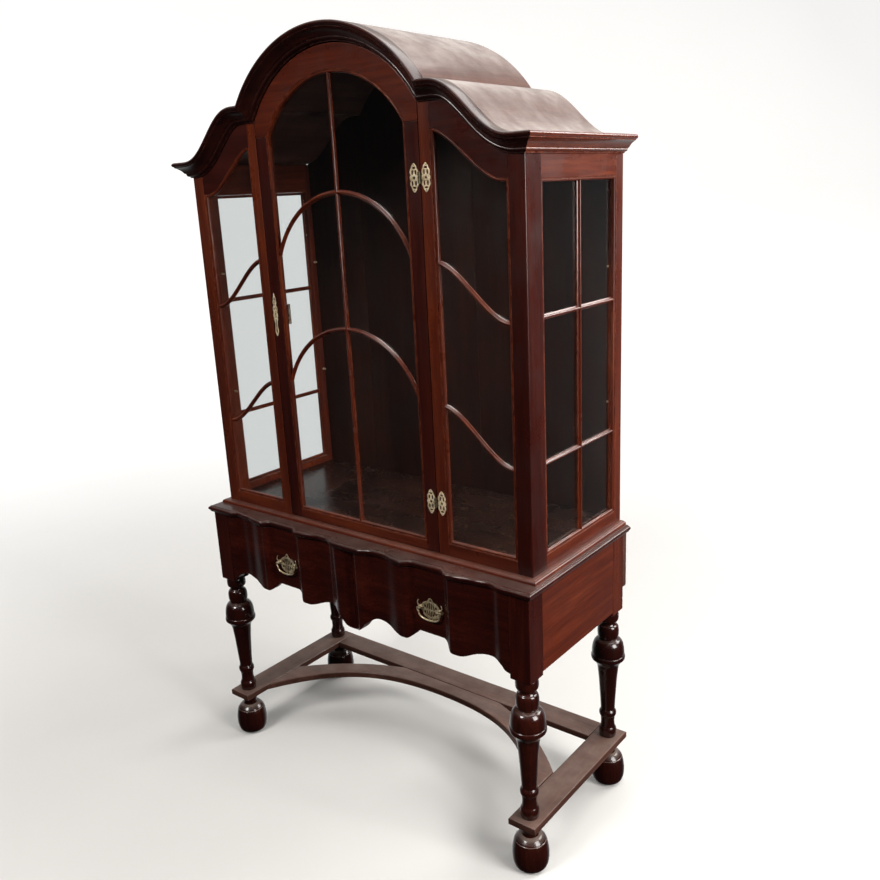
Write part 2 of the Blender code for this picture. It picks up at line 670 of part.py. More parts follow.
# ---------------------------------------------------------------- fixed front panels
front_face = (fwd(DEPTH), fwd(DEPTH - WALL))
glass_face = (fwd(DEPTH - REBATE_IN - GAP), fwd(DEPTH - REBATE_IN - GAP - GLASS))
bar_face = (fwd(DEPTH - 0.0008), fwd(DEPTH - REBATE_IN))
for word, sign in (("left", -1), ("right", 1)):
    heads = [STILE_OUT + (post_in - STILE_OUT) * i / 16 for i in range(17)]
    top = [p for p in clip(under, STILE_OUT, post_in)]
    frame = [(STILE_IN, foot_z), (post_in, foot_z), (post_in, PANEL_SILL), (STILE_OUT, PANEL_SILL)]
    frame += [(x, panel_head(x)) for x in heads]
    frame += top + [(STILE_IN, STILE_TOP)]
    panel = to_mesh(board("panel_frame_" + word, [copy_mirrored(frame, sign)], "XZ", front_face, "mahogany"))
    step = board("panel_rebate_" + word, [copy_mirrored(panel_rebate, sign)], "XZ", rebate_ys, group=cutters)
    combine(panel, to_mesh(step))

    left, right = STILE_OUT + GAP, HALF - POST - GAP
    xs = [left + (right - left) * i / 16 for i in range(17)]
    wide = [left - BITE + (right - left + 2 * BITE) * i / 16 for i in range(17)]
    light = [(wide[0], PANEL_SILL - BITE), (wide[-1], PANEL_SILL - BITE)]
    light += [(x, panel_head(x) + BITE) for x in reversed(wide)]
    board("panel_glass_" + word, [copy_mirrored(light, sign)], "XZ", glass_face, "glass")
    for tag, start in zip(("upper", "lower"), OGEE_TOPS):
        line = [(x, cyma(x, start)) for x in reversed(xs)]
        strip = band(line, MUNTIN)
        strip = [(min(max(x, left), right), z) for x, z in strip]
        board(f"panel_muntin_{tag}_{word}", [copy_mirrored(strip, sign)], "XZ", bar_face, "mahogany")

# ---------------------------------------------------------------- crown: header, roof, cornice
head_half = STILE_IN - GAP
roof_line = clip(inset(crown(HALF), ROOF_THICK + GAP), -head_half, head_half)
opening = arc(DOOR_R + 0.0025, ARCH_Z, head_half, 28)
board("arch_header", [roof_line + opening[::-1]], "XZ", front_face, "mahogany")

roof_half = HALF - GAP
outer = crown(roof_half)
lower = inset(outer, ROOF_THICK)
lower[0], lower[-1] = (roof_half, CORNICE_Z - ROOF_THICK), (-roof_half, CORNICE_Z - ROOF_THICK)
board("roof", [outer + lower[::-1]], "XZ", (fwd(DEPTH), BACK), "mahogany_dull")

outline = crown(HALF + CORNICE_OUT)
rings = []
for i, _ in enumerate(outline):
    ring = []
    for down, out in CORNICE:
        x, z = inset(outline, down)[i]
        if i in (0, len(outline) - 1):  # the mitre at the corners
            x, z = math.copysign(HALF + out - GAP, outline[i][0]), CORNICE_Z - down
        ring.append((x, fwd(DEPTH + GAP + out), z))
    rings.append(ring)
loft("cornice_front", rings, "mahogany_dark")
for word, sign in (("left", -1), ("right", 1)):
    near = [(sign * (HALF + GAP + out), fwd(DEPTH + out - GAP), CORNICE_Z - down) for down, out in CORNICE]
    far = [(x, BACK, z) for x, y, z in near]
    loft("cornice_" + word, [near, far], "mahogany_dark")

# ---------------------------------------------------------------- the door
hinge = axis_empty("door_axis", (HINGE_X, fwd(HINGE_FWD), 0.0))
spring = math.sqrt(LIGHT_R**2 - DOOR_LIGHT**2) + LIGHT_Z  # where the stiles meet the arched rail
wide = DOOR_LIGHT + REBATE
step = arc(LIGHT_R + REBATE, LIGHT_Z, wide, 28) + [(-wide, DOOR_SILL - REBATE), (wide, DOOR_SILL - REBATE)]
door_step = to_mesh(board("door_rebate", [step], "XZ", rebate_ys, group=cutters))
for word, sign in (("left", -1), ("right", 1)):
    stile = box(
        "door_stile_" + word, (sign * DOOR_LIGHT, sign * DOOR_HALF), (DEPTH, DEPTH - WALL),
        (DOOR_LOW, spring - GAP), "mahogany", bevel=0.0012,
    )
    attach(combine(stile, door_step), hinge)
outside = arc(DOOR_R, ARCH_Z, DOOR_HALF, 28)
light_arc = arc(LIGHT_R, LIGHT_Z, DOOR_LIGHT, 24)
rail = [(DOOR_HALF, spring)] + outside + [(-DOOR_HALF, spring)] + light_arc[::-1]
arched = to_mesh(board("door_top_rail", [rail], "XZ", front_face, "mahogany"))
attach(combine(arched, door_step), hinge)
light = DOOR_LIGHT - GAP
low_rail = box(
    "door_bottom_rail", (-light, light), (DEPTH, DEPTH - WALL), (DOOR_LOW, DOOR_SILL),
    "mahogany", bevel=0.0012,
)
attach(combine(low_rail, door_step), hinge)
wide = DOOR_LIGHT + BITE
pane = arc(LIGHT_R + BITE, LIGHT_Z, wide, 24) + [(-wide, DOOR_SILL - BITE), (wide, DOOR_SILL - BITE)]
attach(board("door_glass", [pane], "XZ", glass_face, "glass"), hinge)
bars = to_mesh(
    board(
        "door_muntins",
        [[(-MUNTIN / 2, DOOR_SILL + GAP), (MUNTIN / 2, DOOR_SILL + GAP),
          (MUNTIN / 2, LIGHT_Z + LIGHT_R - 0.0007), (-MUNTIN / 2, LIGHT_Z + LIGHT_R - 0.0007)]],
        "XZ", bar_face, "mahogany",
    )
)
for i, centre in enumerate(MUNTIN_ZS):
    strip = band(arc(MUNTIN_R, centre, light + 0.004, 24), MUNTIN)
    strip = [(min(max(x, -light), light), z) for x, z in strip]
    curved = (bar_face[0] + 0.0003, bar_face[1] - 0.0003)
    combine(bars, to_mesh(board(f"arch_bar_{i}", [strip], "XZ", curved, group=cutters)), "UNION")
attach(bars, hinge)


def rod(name, radius, length, location, kind=None, group=None, segments=16):
    bm = bmesh.new()
    bmesh.ops.create_cone(bm, cap_ends=True, segments=segments, radius1=radius, radius2=radius, depth=length)
    mesh = bpy.data.meshes.new(name)
    bm.to_mesh(mesh)
    bm.free()
    return place(name, mesh, kind, location, group=group)


# A pierced leaf: half of its lobed outline beside the knuckle, from the bottom up.
LEAF = [
    (0.0175, -0.0320), (0.0225, -0.0290), (0.0250, -0.0240), (0.0294, -0.0190), (0.0282, -0.0120),
    (0.0300, 0.0), (0.0282, 0.0120), (0.0294, 0.0190), (0.0250, 0.0240), (0.0225, 0.0290),
    (0.0175, 0.0320), (0.0125, 0.0290), (0.0100, 0.0240), (0.0060, 0.0190), (0.0044, 0.0130),
    (0.0015, 0.0120), (0.0015, -0.0120), (0.0044, -0.0130), (0.0060, -0.0190), (0.0100, -0.0240),
    (0.0125, -0.0290),
]
KNUCKLE_R, PIN_R, BORE_R = 0.0034, 0.0018, 0.00190
plate_face = (fwd(DEPTH + 0.0017), fwd(DEPTH + GAP))
for tag, z in zip(("top", "bottom"), HINGE_ZS):
    spot = Vector((HINGE_X, fwd(HINGE_FWD), z))
    for word, sign in (("door", -1), ("frame", 1)):
        outline = [(HINGE_X + sign * x, z + v) for x, v in LEAF][::sign]
        loops = [outline]
        for v in (-0.018, 0.0, 0.018):
            loops.append([(HINGE_X + sign * 0.0172 + a * 0.6, z + v + b * 1.6) for a, b in HOLE[::-1]])
        leaf = to_mesh(board(f"hinge_{tag}_{word}", loops, "XZ", plate_face, "old_brass"))
        if word == "door":
            barrel = rod(f"barrel_{tag}", KNUCKLE_R, 0.0094, spot, group=cutters)
            combine(leaf, barrel, "UNION")
            combine(leaf, rod(f"bore_{tag}", BORE_R, 0.0300, spot, group=cutters))
            # room for the two outer knuckles
            for step in (-1, 1):
                beside = spot + Vector((0, 0, step * 0.0095))
                room = rod(f"room_{tag}_{step}", KNUCKLE_R + 0.0004, 0.0090, beside, group=cutters)
                combine(leaf, room)
            attach(leaf, hinge)
        else:
            combine(leaf, rod(f"clear_{tag}", KNUCKLE_R + 0.0004, 0.0100, spot, group=cutters))
            for step in (-1, 1):
                beside = spot + Vector((0, 0, step * 0.0092))
                ear = rod(f"ear_{tag}_{step}", KNUCKLE_R, 0.0078, beside, group=cutters)
                combine(leaf, ear, "UNION")
            combine(leaf, rod(f"pin_{tag}", PIN_R, 0.0240, spot, group=cutters), "UNION")

lock = box(
    "lock_case", (-0.2660, -0.2296), (DEPTH - WALL - GAP, DEPTH - WALL - 0.0100), (1.352, 1.406),
    "lock_steel", bevel=0.0008,
)
attach(lock, hinge)
SHIELD = [
    (0.0000, -0.0590), (0.0030, -0.0540), (0.0028, -0.0470), (0.0075, -0.0420), (0.0085, -0.0340),
    (0.0050, -0.0280), (0.0085, -0.0200), (0.0088, -0.0080), (0.0062, 0.0), (0.0088, 0.0080),
    (0.0085, 0.0200), (0.0050, 0.0280), (0.0085, 0.0340), (0.0075, 0.0420), (0.0028, 0.0470),
    (0.0030, 0.0540), (0.0000, 0.0590),
]
KEY_X, KEY_Z = -0.2592, 1.379
outline = [(KEY_X + x, KEY_Z + z) for x, z in SHIELD + [(-x, z) for x, z in SHIELD[-2:0:-1]]]
keyhole = [
    (0.0014, -0.0060), (-0.0014, -0.0060), (-0.0009, 0.0), (-0.0018, 0.0024), (0.0, 0.0042),
    (0.0018, 0.0024), (0.0009, 0.0),
]
loops = [outline, [(KEY_X + x, KEY_Z + z) for x, z in keyhole]]
for v in (-0.036, -0.018, 0.018, 0.036):
    loops.append([(KEY_X + a * 0.7, KEY_Z + v + b * 1.3) for a, b in HOLE[::-1]])
attach(board("escutcheon", loops, "XZ", plate_face, "old_brass"), hinge)
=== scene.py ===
"""The looks of a glazed mahogany china cabinet: joinery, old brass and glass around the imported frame."""

import json
import math
import random

import bmesh
import bpy
from mathutils import Matrix, Vector

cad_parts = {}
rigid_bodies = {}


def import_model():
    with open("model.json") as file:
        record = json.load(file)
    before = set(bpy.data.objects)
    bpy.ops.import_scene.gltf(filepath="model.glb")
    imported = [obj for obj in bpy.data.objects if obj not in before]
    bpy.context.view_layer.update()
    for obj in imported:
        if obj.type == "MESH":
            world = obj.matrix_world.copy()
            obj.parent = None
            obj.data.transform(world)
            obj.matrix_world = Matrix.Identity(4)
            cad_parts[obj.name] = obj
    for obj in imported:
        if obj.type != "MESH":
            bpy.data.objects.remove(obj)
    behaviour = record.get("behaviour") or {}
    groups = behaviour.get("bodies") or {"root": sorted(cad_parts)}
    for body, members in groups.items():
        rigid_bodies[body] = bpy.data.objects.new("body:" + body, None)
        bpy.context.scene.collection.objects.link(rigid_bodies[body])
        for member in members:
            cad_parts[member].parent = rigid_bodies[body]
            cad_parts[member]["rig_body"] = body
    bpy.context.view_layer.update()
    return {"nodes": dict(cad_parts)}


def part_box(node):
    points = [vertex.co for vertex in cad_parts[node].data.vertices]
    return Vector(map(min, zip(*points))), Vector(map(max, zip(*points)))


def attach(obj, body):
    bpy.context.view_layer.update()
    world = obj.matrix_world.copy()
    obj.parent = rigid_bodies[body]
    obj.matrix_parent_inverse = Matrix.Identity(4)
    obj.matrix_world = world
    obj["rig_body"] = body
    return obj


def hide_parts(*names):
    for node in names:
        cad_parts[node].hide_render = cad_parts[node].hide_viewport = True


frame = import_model()

# ---------------------------------------------------------------- sizes from the frame
LOW, HIGH = 0, 1


def edge(node, end, axis):
    return getattr(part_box(node)[end], axis)


SEAM = 0.0002  # half the hairline between two boards
HALF = edge("corner_post_right", HIGH, "x")
FRONT = edge("corner_post_right", LOW, "y")
BACK = edge("case_base", HIGH, "y")
WALL = edge("door_bottom_rail", HIGH, "y") - FRONT
CASE_LOW = edge("corner_post_right", LOW, "z")
POST_IN = edge("corner_post_right", LOW, "x")
POST_REAR = edge("corner_post_right", HIGH, "y")
POST_TOP = edge("corner_post_right", HIGH, "z")
FLOOR_TOP = edge("case_base", HIGH, "z")
CORNICE_Z = edge("cornice_right", HIGH, "z")
CORNICE_OUT = edge("cornice_right", HIGH, "x") - HALF
CROWN_TOP = edge("roof", HIGH, "z")
BAR_FRONT, BAR_BACK = edge("door_muntins", LOW, "y"), edge("door_muntins", HIGH, "y")
DOOR_HALF = edge("door_stile_right", HIGH, "x")
DOOR_LIGHT = edge("door_stile_right", LOW, "x")
DOOR_LOW = edge("door_stile_right", LOW, "z")
DOOR_SPRING = edge("door_stile_right", HIGH, "z")
DOOR_SILL = edge("door_bottom_rail", HIGH, "z")
STILE_IN = edge("panel_frame_right", LOW, "x")
STAND_HALF = edge("apron_right", HIGH, "x")
WAIST_LOW, WAIST_TOP = edge("waist_moulding", LOW, "z"), edge("waist_moulding", HIGH, "z")
NOSE_HALF = edge("waist_moulding", HIGH, "x")
STRETCH_LOW, STRETCH_TOP = edge("stretcher_back", LOW, "z"), edge("stretcher_back", HIGH, "z")

# ---------------------------------------------------------------- the design's own curves
ARCH_R = 0.360
ARCH_Z = CROWN_TOP - ARCH_R
SHOULDER_Z, SHOULDER_X, SHOULDER_RUN = 1.916, 0.310, 0.240
ROOF_THICK = 0.008
STILE_OUT = 0.311
PANEL_SILL = 0.838
SIDE_SILL, SIDE_HEAD = 0.841, 1.690
SIDE_BARS = (1.058, 1.400)
LIGHT_R, LIGHT_Z = 0.260, 1.703
DOOR_R = 0.3155
MUNTIN = 0.012
MUNTIN_R, MUNTIN_ZS = 0.245, (1.445, 1.107)
OGEE_TOPS = {"upper": 1.524, "lower": 1.186}
PULL_X, PULL_Z = 0.2665, 0.656
STAND_DEPTH = 0.495
FRONT_BACK = 0.470
STICK = 0.0082  # width of the moulded edge round each pane
STICK_BACK = 0.0091  # its depth, in front of the pane
BITE = 0.0048  # how far a pane runs into the rebate behind the moulded edge
REAR_STILE = BACK - 0.042


def fwd(depth):
    """The Y of a depth that is measured forward from the back of the case."""
    return BACK - depth


def ease_curve(t):
    t = min(max(t, 0.0), 1.0)
    return t * t * (3 - 2 * t)


def soft_curve(t):
    t = min(max(t, 0.0), 1.0)
    return t**3 * (6 * t * t - 15 * t + 10)


def blend(knots, u):
    for (u0, v0), (u1, v1) in zip(knots, knots[1:]):
        if u <= u1:
            return v0 + (v1 - v0) * ease_curve((u - u0) / (u1 - u0))
    return knots[-1][1]


def shoulder_z(x):
    return SHOULDER_Z - (SHOULDER_Z - CORNICE_Z) * soft_curve((x - SHOULDER_X) / SHOULDER_RUN)


def crown(half, arch_steps=40, shoulder_steps=36):
    """The top outline from right to left at this half width."""
    meet = math.sqrt(ARCH_R**2 - (SHOULDER_Z - ARCH_Z) ** 2)
    right = [(half, CORNICE_Z)]
    for i in range(shoulder_steps + 1):
        x = SHOULDER_X + SHOULDER_RUN * (1 - i / shoulder_steps)
        if x < half - 0.004:
            right.append((x, shoulder_z(x)))
    right.append((meet, SHOULDER_Z))
    start = math.acos(meet / ARCH_R)
    for i in range(1, arch_steps):
        angle = start + (math.pi / 2 - start) * i / arch_steps
        right.append((ARCH_R * math.cos(angle), ARCH_Z + ARCH_R * math.sin(angle)))
    return right + [(0.0, CROWN_TOP)] + [(-x, z) for x, z in reversed(right)]


def arc(radius, centre_z, half, steps):
    """An arch from x = half to x = -half."""
    start = math.acos(half / radius)
    angles = [start + (math.pi - 2 * start) * i / steps for i in range(steps + 1)]
    return [(radius * math.cos(a), centre_z + radius * math.sin(a)) for a in angles]


def panel_head(x):
    return 1.811 - 0.117 * ease_curve((x - 0.29) / 0.205)


def cyma(x, top):
    return top - 0.132 * ease_curve((x - 0.295) / 0.21)


def mm(*points):
    """A list of points in metres from points in millimetres. A third value is kept as it is."""
    return [(u / 1000, v / 1000, *mark) for u, v, *mark in points]


INNER_WAVE = [
    (0.0, 0.010), (0.044, 0.010), (0.074, -0.008), (0.088, -0.006), (0.155, 0.007), (0.178, 0.006),
    (0.222, -0.009), (0.238, -0.008), (0.2665, 0.006),
]
OUTER_WAVE = INNER_WAVE[:4] + [(0.150, 0.004), (0.190, 0.009), (0.222, 0.0), (0.270, 0.0)]
NOSE_WAVE = INNER_WAVE[:-2] + [(0.2665, -0.010)]
FLAT_HALF, FLAT_Z = 0.040, 0.5865
INNER_EDGE = mm(
    (40, 586.5), (53.5, 576), (62.5, 567.8), (72, 562.5), (90, 560), (102, 560.8), (119, 565),
    (136, 571.2), (151, 576), (167, 579.8), (180, 580.5), (192, 578.5), (205, 571.5), (220, 560),
    (233, 545.5), (243, 536), (253, 529), (260, 526), (266.5, 525),
)
OUTER_EDGE = INNER_EDGE[:5] + mm(
    (105, 561.5), (120, 566.5), (135, 573), (150, 578.5), (168, 582.2), (185, 582), (205, 578.5),
    (220, 571.5), (230, 561), (245, 556),
)


def wave(x, inner_knots=INNER_WAVE):
    """How far the stand's front lies behind its corner blocks."""
    away = abs(x) - PULL_X
    return blend(OUTER_WAVE, away) if away > 0 else blend(inner_knots, -away)


def smooth_height(knots, u):
    """The height at u of a smooth curve through the (position, height) knots."""
    u = min(max(u, knots[0][0]), knots[-1][0])
    last = len(knots) - 1
    i = max(k for k in range(last) if knots[k][0] <= u)
    (u0, v0), (u1, v1) = knots[i], knots[i + 1]
    before, after = knots[max(i - 1, 0)], knots[min(i + 2, last)]
    run, t = u1 - u0, (u - u0) / (u1 - u0)
    start = (v1 - before[1]) / (u1 - before[0]) * run
    end = (after[1] - v0) / (after[0] - u0) * run
    return v0 + start * t + (3 * (v1 - v0) - 2 * start - end) * t * t + (2 * (v0 - v1) + start + end) * t**3


def scallop(x):
    """Height of a drawer front's lower edge."""
    away = abs(x) - PULL_X
    if abs(away) <= FLAT_HALF:
        return FLAT_Z
    return smooth_height(OUTER_EDGE if away > 0 else INNER_EDGE, abs(away))


def spaced(low, high, count):
    return [low + (high - low) * i / (count - 1) for i in range(count)]


# ---------------------------------------------------------------- outlines
def offset(path, distance, closed=False):
    """The path moved to its left, mitred at each corner."""
    moved, count = [], len(path)
    for i, point in enumerate(path):
        here = Vector(point)
        before = (here - Vector(path[i - 1])).normalized() if closed or i else None
        after = (Vector(path[(i + 1) % count]) - here).normalized() if closed or i + 1 < count else None
        before, after = before or after, after or before
        side = [Vector((-d.y, d.x)) for d in (before, after)]
        mean = (side[0] + side[1]).normalized()
        moved.append(tuple(here + mean * distance / max(mean.dot(side[0]), 0.3)))
    return moved


def clip(path, low, high):
    """The stretch of a right-to-left path between two x values."""
    kept = []
    for (x0, z0), (x1, z1) in zip(path, path[1:]):
        for limit in (high, low):
            if min(x0, x1) < limit < max(x0, x1):
                kept.append((limit, z0 + (z1 - z0) * (limit - x0) / (x1 - x0)))
        if low <= x1 <= high:
            kept.append((x1, z1))
    if low <= path[0][0] <= high:
        kept.insert(0, path[0])
    return sorted(set(kept), key=lambda p: -p[0])


def mirrored(points, sign):
    return [(sign * u, v) for u, v in points][::sign]


def round_arc(centre, radius, start, end, steps):
    """Points on an arc, angles in degrees; radius may be a pair for an ellipse."""
    rx, ry = radius if isinstance(radius, tuple) else (radius, radius)
    points = []
    for i in range(steps + 1):
        a = math.radians(start + (end - start) * i / steps)
        points.append((centre[0] + rx * math.cos(a), centre[1] + ry * math.sin(a)))
    return points


def piece(obj, material, node, *more_nodes):
    """Finishes a piece: it takes its material, rides with its node's body, and stands for the nodes, which
    it hides.
    """
    if obj.name not in bpy.context.scene.collection.all_objects:
        bpy.context.scene.collection.objects.link(obj)
    obj.data.materials.clear()
    obj.data.materials.append(material)
    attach(obj, frame["nodes"][node]["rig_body"])
    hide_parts(node, *more_nodes)
    return obj


def mesh_piece(name, verts, faces, smooth=35):
    mesh = bpy.data.meshes.new(name)
    mesh.from_pydata([tuple(v) for v in verts], [], faces)
    bm = bmesh.new()
    bm.from_mesh(mesh)
    bmesh.ops.remove_doubles(bm, verts=bm.verts, dist=0.000002)
    bmesh.ops.dissolve_degenerate(bm, edges=bm.edges, dist=0.000002)
    bmesh.ops.recalc_face_normals(bm, faces=bm.faces)
    bm.to_mesh(mesh)
    bm.free()
    mesh.shade_smooth()
    mesh.set_sharp_from_angle(angle=math.radians(smooth))
    return bpy.data.objects.new(name, mesh)


def eased(obj, width, segments=2, angle=40):
    """Rounds an object's sharp edges."""
    bevel = obj.modifiers.new("Eased edges", "BEVEL")
    bevel.width = width
    bevel.segments = segments
    bevel.limit_method = "ANGLE"
    bevel.angle_limit = math.radians(angle)
    bevel.harden_normals = True
    return obj


def rings_to_mesh(name, rings, closed=False, smooth=35):
    """A skin through rings of equally many points, capped at its ends unless it closes on itself."""
    count, size = len(rings), len(rings[0])
    verts = [p for ring in rings for p in ring]
    faces = []
    for i in range(count if closed else count - 1):
        one, two = i * size, (i + 1) % count * size
        for j in range(size):
            k = (j + 1) % size
            faces.append((one + j, one + k, two + k, two + j))
    if not closed:
        faces += [tuple(range(size))[::-1], tuple(range((count - 1) * size, count * size))]
    return mesh_piece(name, verts, faces, smooth)


LIFTS = {
    "front": lambda u, v, w: (u, w, v),
    "side": lambda u, v, w: (w, u, v),
    "plan": lambda u, v, w: (u, v, w),
}


def slab(name, outline, plane, across, ease=0.0006):
    """A board of any outline between two values across its plane."""
    lift = LIFTS[plane]
    rings = [[lift(u, v, w) for u, v in outline] for w in across]
    obj = rings_to_mesh(name, rings)
    return eased(obj, ease) if ease else obj


def plank(name, xs, ys, zs, ease=0.0006):
    x, y, z = sorted(xs), sorted(ys), sorted(zs)
    outline = [(x[0], z[0]), (x[1], z[0]), (x[1], z[1]), (x[0], z[1])]
    return slab(name, outline, "front", y, ease)


def sweep(name, path, profile, plane, closed=False, ends=None, smooth=35):
    """A moulding: its closed profile of (left of the path, along the plane's axis) points, along a path."""
    lift = LIFTS[plane]
    lines = [offset(path, across, closed) for across, _ in profile]
    rings = []
    for i in range(len(path)):
        ring = [(*line[i], out) for line, (_, out) in zip(lines, profile)]
        if ends and i in (0, len(path) - 1):
            ring = [ends(i, *profile[k]) for k in range(len(profile))]
        rings.append([lift(*p) for p in ring])
    return rings_to_mesh(name, rings, closed, smooth)


def stack(name, outline, levels, pinned=None, smooth=35):
    """A board in plan, with an edge moulding: levels are (height, inset). Pinned puts fixed points back."""
    rings = []
    for z, inset in levels:
        ring = offset(outline, inset, closed=True)
        rings.append([(*(pinned(p, q) if pinned else q), z) for p, q in zip(outline, ring)])
    return rings_to_mesh(name, rings, smooth=smooth)


def quarter(steps):
    """Angles of a quarter turn."""
    return [math.pi / 2 * i / steps for i in range(steps + 1)]


def between(a, b, c, d, t):
    """A point on the smooth curve from b to c, whose neighbours are a and d."""
    bend = (2 * a - 5 * b + 4 * c - d) * t * t
    return 0.5 * (2 * b + (c - a) * t + bend + (3 * b - a - 3 * c + d) * t**3)


def spline(points, steps=6):
    """A smooth line through (radius, height) points. A point with a third value is a sharp corner."""
    runs, run = [], []
    for point in points:
        run.append(Vector(point[:2]))
        if len(point) == 3 and len(run) > 1:
            runs.append(run)
            run = [Vector(point[:2])]
    if len(run) > 1:
        runs.append(run)
    out = []
    for run in runs:
        padded = [run[0] * 2 - run[1], *run, run[-1] * 2 - run[-2]]
        for i in range(1, len(padded) - 2):
            a, b, c, d = padded[i - 1 : i + 3]
            for s in range(steps):
                out.append(between(a, b, c, d, s / steps))
        out.append(run[-1])
    clean = [out[0]]
    for p in out[1:]:
        if (p - clean[-1]).length > 0.00005:
            clean.append(p)
    return [tuple(p) for p in clean]


def lathe(name, profile, centre, axis="z", segments=64, smooth=35):
    """A turning about a line through centre: (radius, along) points from one end to the other."""
    rings = []
    for i in range(segments):
        a = 2 * math.pi * i / segments
        ring = []
        for r, h in profile:
            r = max(r, 0.0)
            spot = {
                "z": (r * math.cos(a), r * math.sin(a), h),
                "y": (r * math.cos(a), h, r * math.sin(a)),
                "x": (h, r * math.cos(a), r * math.sin(a)),
            }[axis]
            ring.append(tuple(Vector(spot) + Vector(centre)))
        rings.append(ring)
    count = len(profile)
    verts = [p for ring in rings for p in ring]
    faces = []
    for i in range(segments):
        one, two = i * count, (i + 1) % segments * count
        for j in range(count - 1):
            faces.append((one + j, one + j + 1, two + j + 1, two + j))
    for j in (0, count - 1):
        if profile[j][0] > 0.00001:
            faces.append(tuple(i * count + j for i in range(segments)))
    return mesh_piece(name, verts, faces, smooth)


def tube(name, line, radii, sides=14):
    """A round bar along a line of points, with a radius at each."""
    points = [Vector(p) for p in line]
    rings = []
    side = Vector((0, 1, 0))
    for i, p in enumerate(points):
        along = (points[min(i + 1, len(points) - 1)] - points[max(i - 1, 0)]).normalized()
        side = (side - along * side.dot(along)).normalized()
        other = along.cross(side)
        angles = [2 * math.pi * k / sides for k in range(sides)]
        rings.append([tuple(p + (side * math.cos(a) + other * math.sin(a)) * radii[i]) for a in angles])
    return rings_to_mesh(name, rings, smooth=60)


def join(name, objects):
    """Several meshes as one object."""
    bm = bmesh.new()
    for obj in objects:
        data = obj.data.copy()
        data.transform(obj.matrix_world)
        bm.from_mesh(data)
        bpy.data.meshes.remove(data)
        bpy.data.objects.remove(obj)
    mesh = bpy.data.meshes.new(name)
    bm.to_mesh(mesh)
    bm.free()
    mesh.set_sharp_from_angle(angle=math.radians(35))
    return bpy.data.objects.new(name, mesh)


# ---------------------------------------------------------------- materials
class Tree:
    """Short words for building a node tree."""

    def __init__(self, tree):
        self.tree = tree

    def new(self, kind, inputs=(), **settings):
        node = self.tree.nodes.new(kind)
        for key, value in settings.items():
            setattr(node, key, value)
        for key, value in dict(inputs).items():
            self.put(node.inputs[key], value)
        return node

    def put(self, socket, value):
        """Links another node's output to the socket, or sets its value."""
        if isinstance(value, bpy.types.NodeSocket):
            self.tree.links.new(value, socket)
        else:
            socket.default_value = value

    def math(self, operation, one, two=0.5, clamp=False):
        return self.new("ShaderNodeMath", {0: one, 1: two}, operation=operation, use_clamp=clamp).outputs[0]

    def plus(self, one, two, clamp=False):
        return self.math("ADD", one, two, clamp)

    def times(self, one, two):
        return self.math("MULTIPLY", one, two)

    def noise(self, vector, scale, detail=3.0, roughness=0.55, distortion=0.0):
        inputs = {"Vector": vector, "Scale": scale, "Detail": detail}
        inputs.update({"Roughness": roughness, "Distortion": distortion})
        return self.new("ShaderNodeTexNoise", inputs).outputs["Fac"]

    def stretch(self, value, low, high, out_low=0.0, out_high=1.0):
        inputs = {"Value": value, "From Min": low, "From Max": high, "To Min": out_low, "To Max": out_high}
        return self.new("ShaderNodeMapRange", inputs, interpolation_type="SMOOTHSTEP").outputs["Result"]

    def mix(self, share, one, two, blend_type="MIX"):
        node = self.new("ShaderNodeMix", data_type="RGBA", blend_type=blend_type)
        for socket, value in zip((node.inputs[0], node.inputs[6], node.inputs[7]), (share, one, two)):
            self.put(socket, (*value, 1.0) if isinstance(value, tuple) else value)
        return node.outputs[2]

    def scaled(self, vector, scale):
        return self.new("ShaderNodeVectorMath", {0: vector, 1: scale}, operation="MULTIPLY").outputs[0]


class Nodes(Tree):
    """A new material's node tree, round its one Principled shader."""

    def __init__(self, name):
        self.material = bpy.data.materials.new(name)
        self.material.use_nodes = True
        super().__init__(self.material.node_tree)
        self.shader = self.tree.nodes["Principled BSDF"]
        self.place = self.new("ShaderNodeTexCoord").outputs["Object"]

    def feed(self, values):
        """Links or sets the shader's inputs by name."""
        for name, value in values.items():
            self.put(self.shader.inputs[name], value)

    def bump(self, height, strength, distance):
        inputs = {"Strength": strength, "Distance": distance, "Height": height}
        return self.new("ShaderNodeBump", inputs).outputs[0]

    def clear_where(self, share, colour=(1.0, 1.0, 1.0, 1.0)):
        """Lets rays straight through, by this share."""
        clear = self.new("ShaderNodeBsdfTransparent", {"Color": colour}).outputs[0]
        both = self.new("ShaderNodeMixShader", {0: share, 1: self.shader.outputs[0], 2: clear}).outputs[0]
        self.put(self.tree.nodes["Material Output"].inputs["Surface"], both)

    def outside_edges(self, radius, low=0.02, high=0.22):
        """1 on outside edges, by how far a rounded normal leans from the true one."""
        round_normal = self.new("ShaderNodeBevel", {"Radius": radius}, samples=4).outputs[0]
        true_normal = self.new("ShaderNodeNewGeometry").outputs["Normal"]
        lean = self.new("ShaderNodeVectorMath", {0: round_normal, 1: true_normal}, operation="DOT_PRODUCT")
        return self.stretch(self.math("SUBTRACT", 1.0, lean.outputs["Value"]), low, high)

    def facing_up(self):
        normal = self.new("ShaderNodeNewGeometry").outputs["Normal"]
        return self.stretch(self.new("ShaderNodeSeparateXYZ", {0: normal}).outputs["Z"], 0.55, 0.95)


ORDERS = {"x": "XYZ", "y": "YXZ", "z": "ZXY"}  # each grain's axes, along it first
DUST = (0.33, 0.255, 0.215)


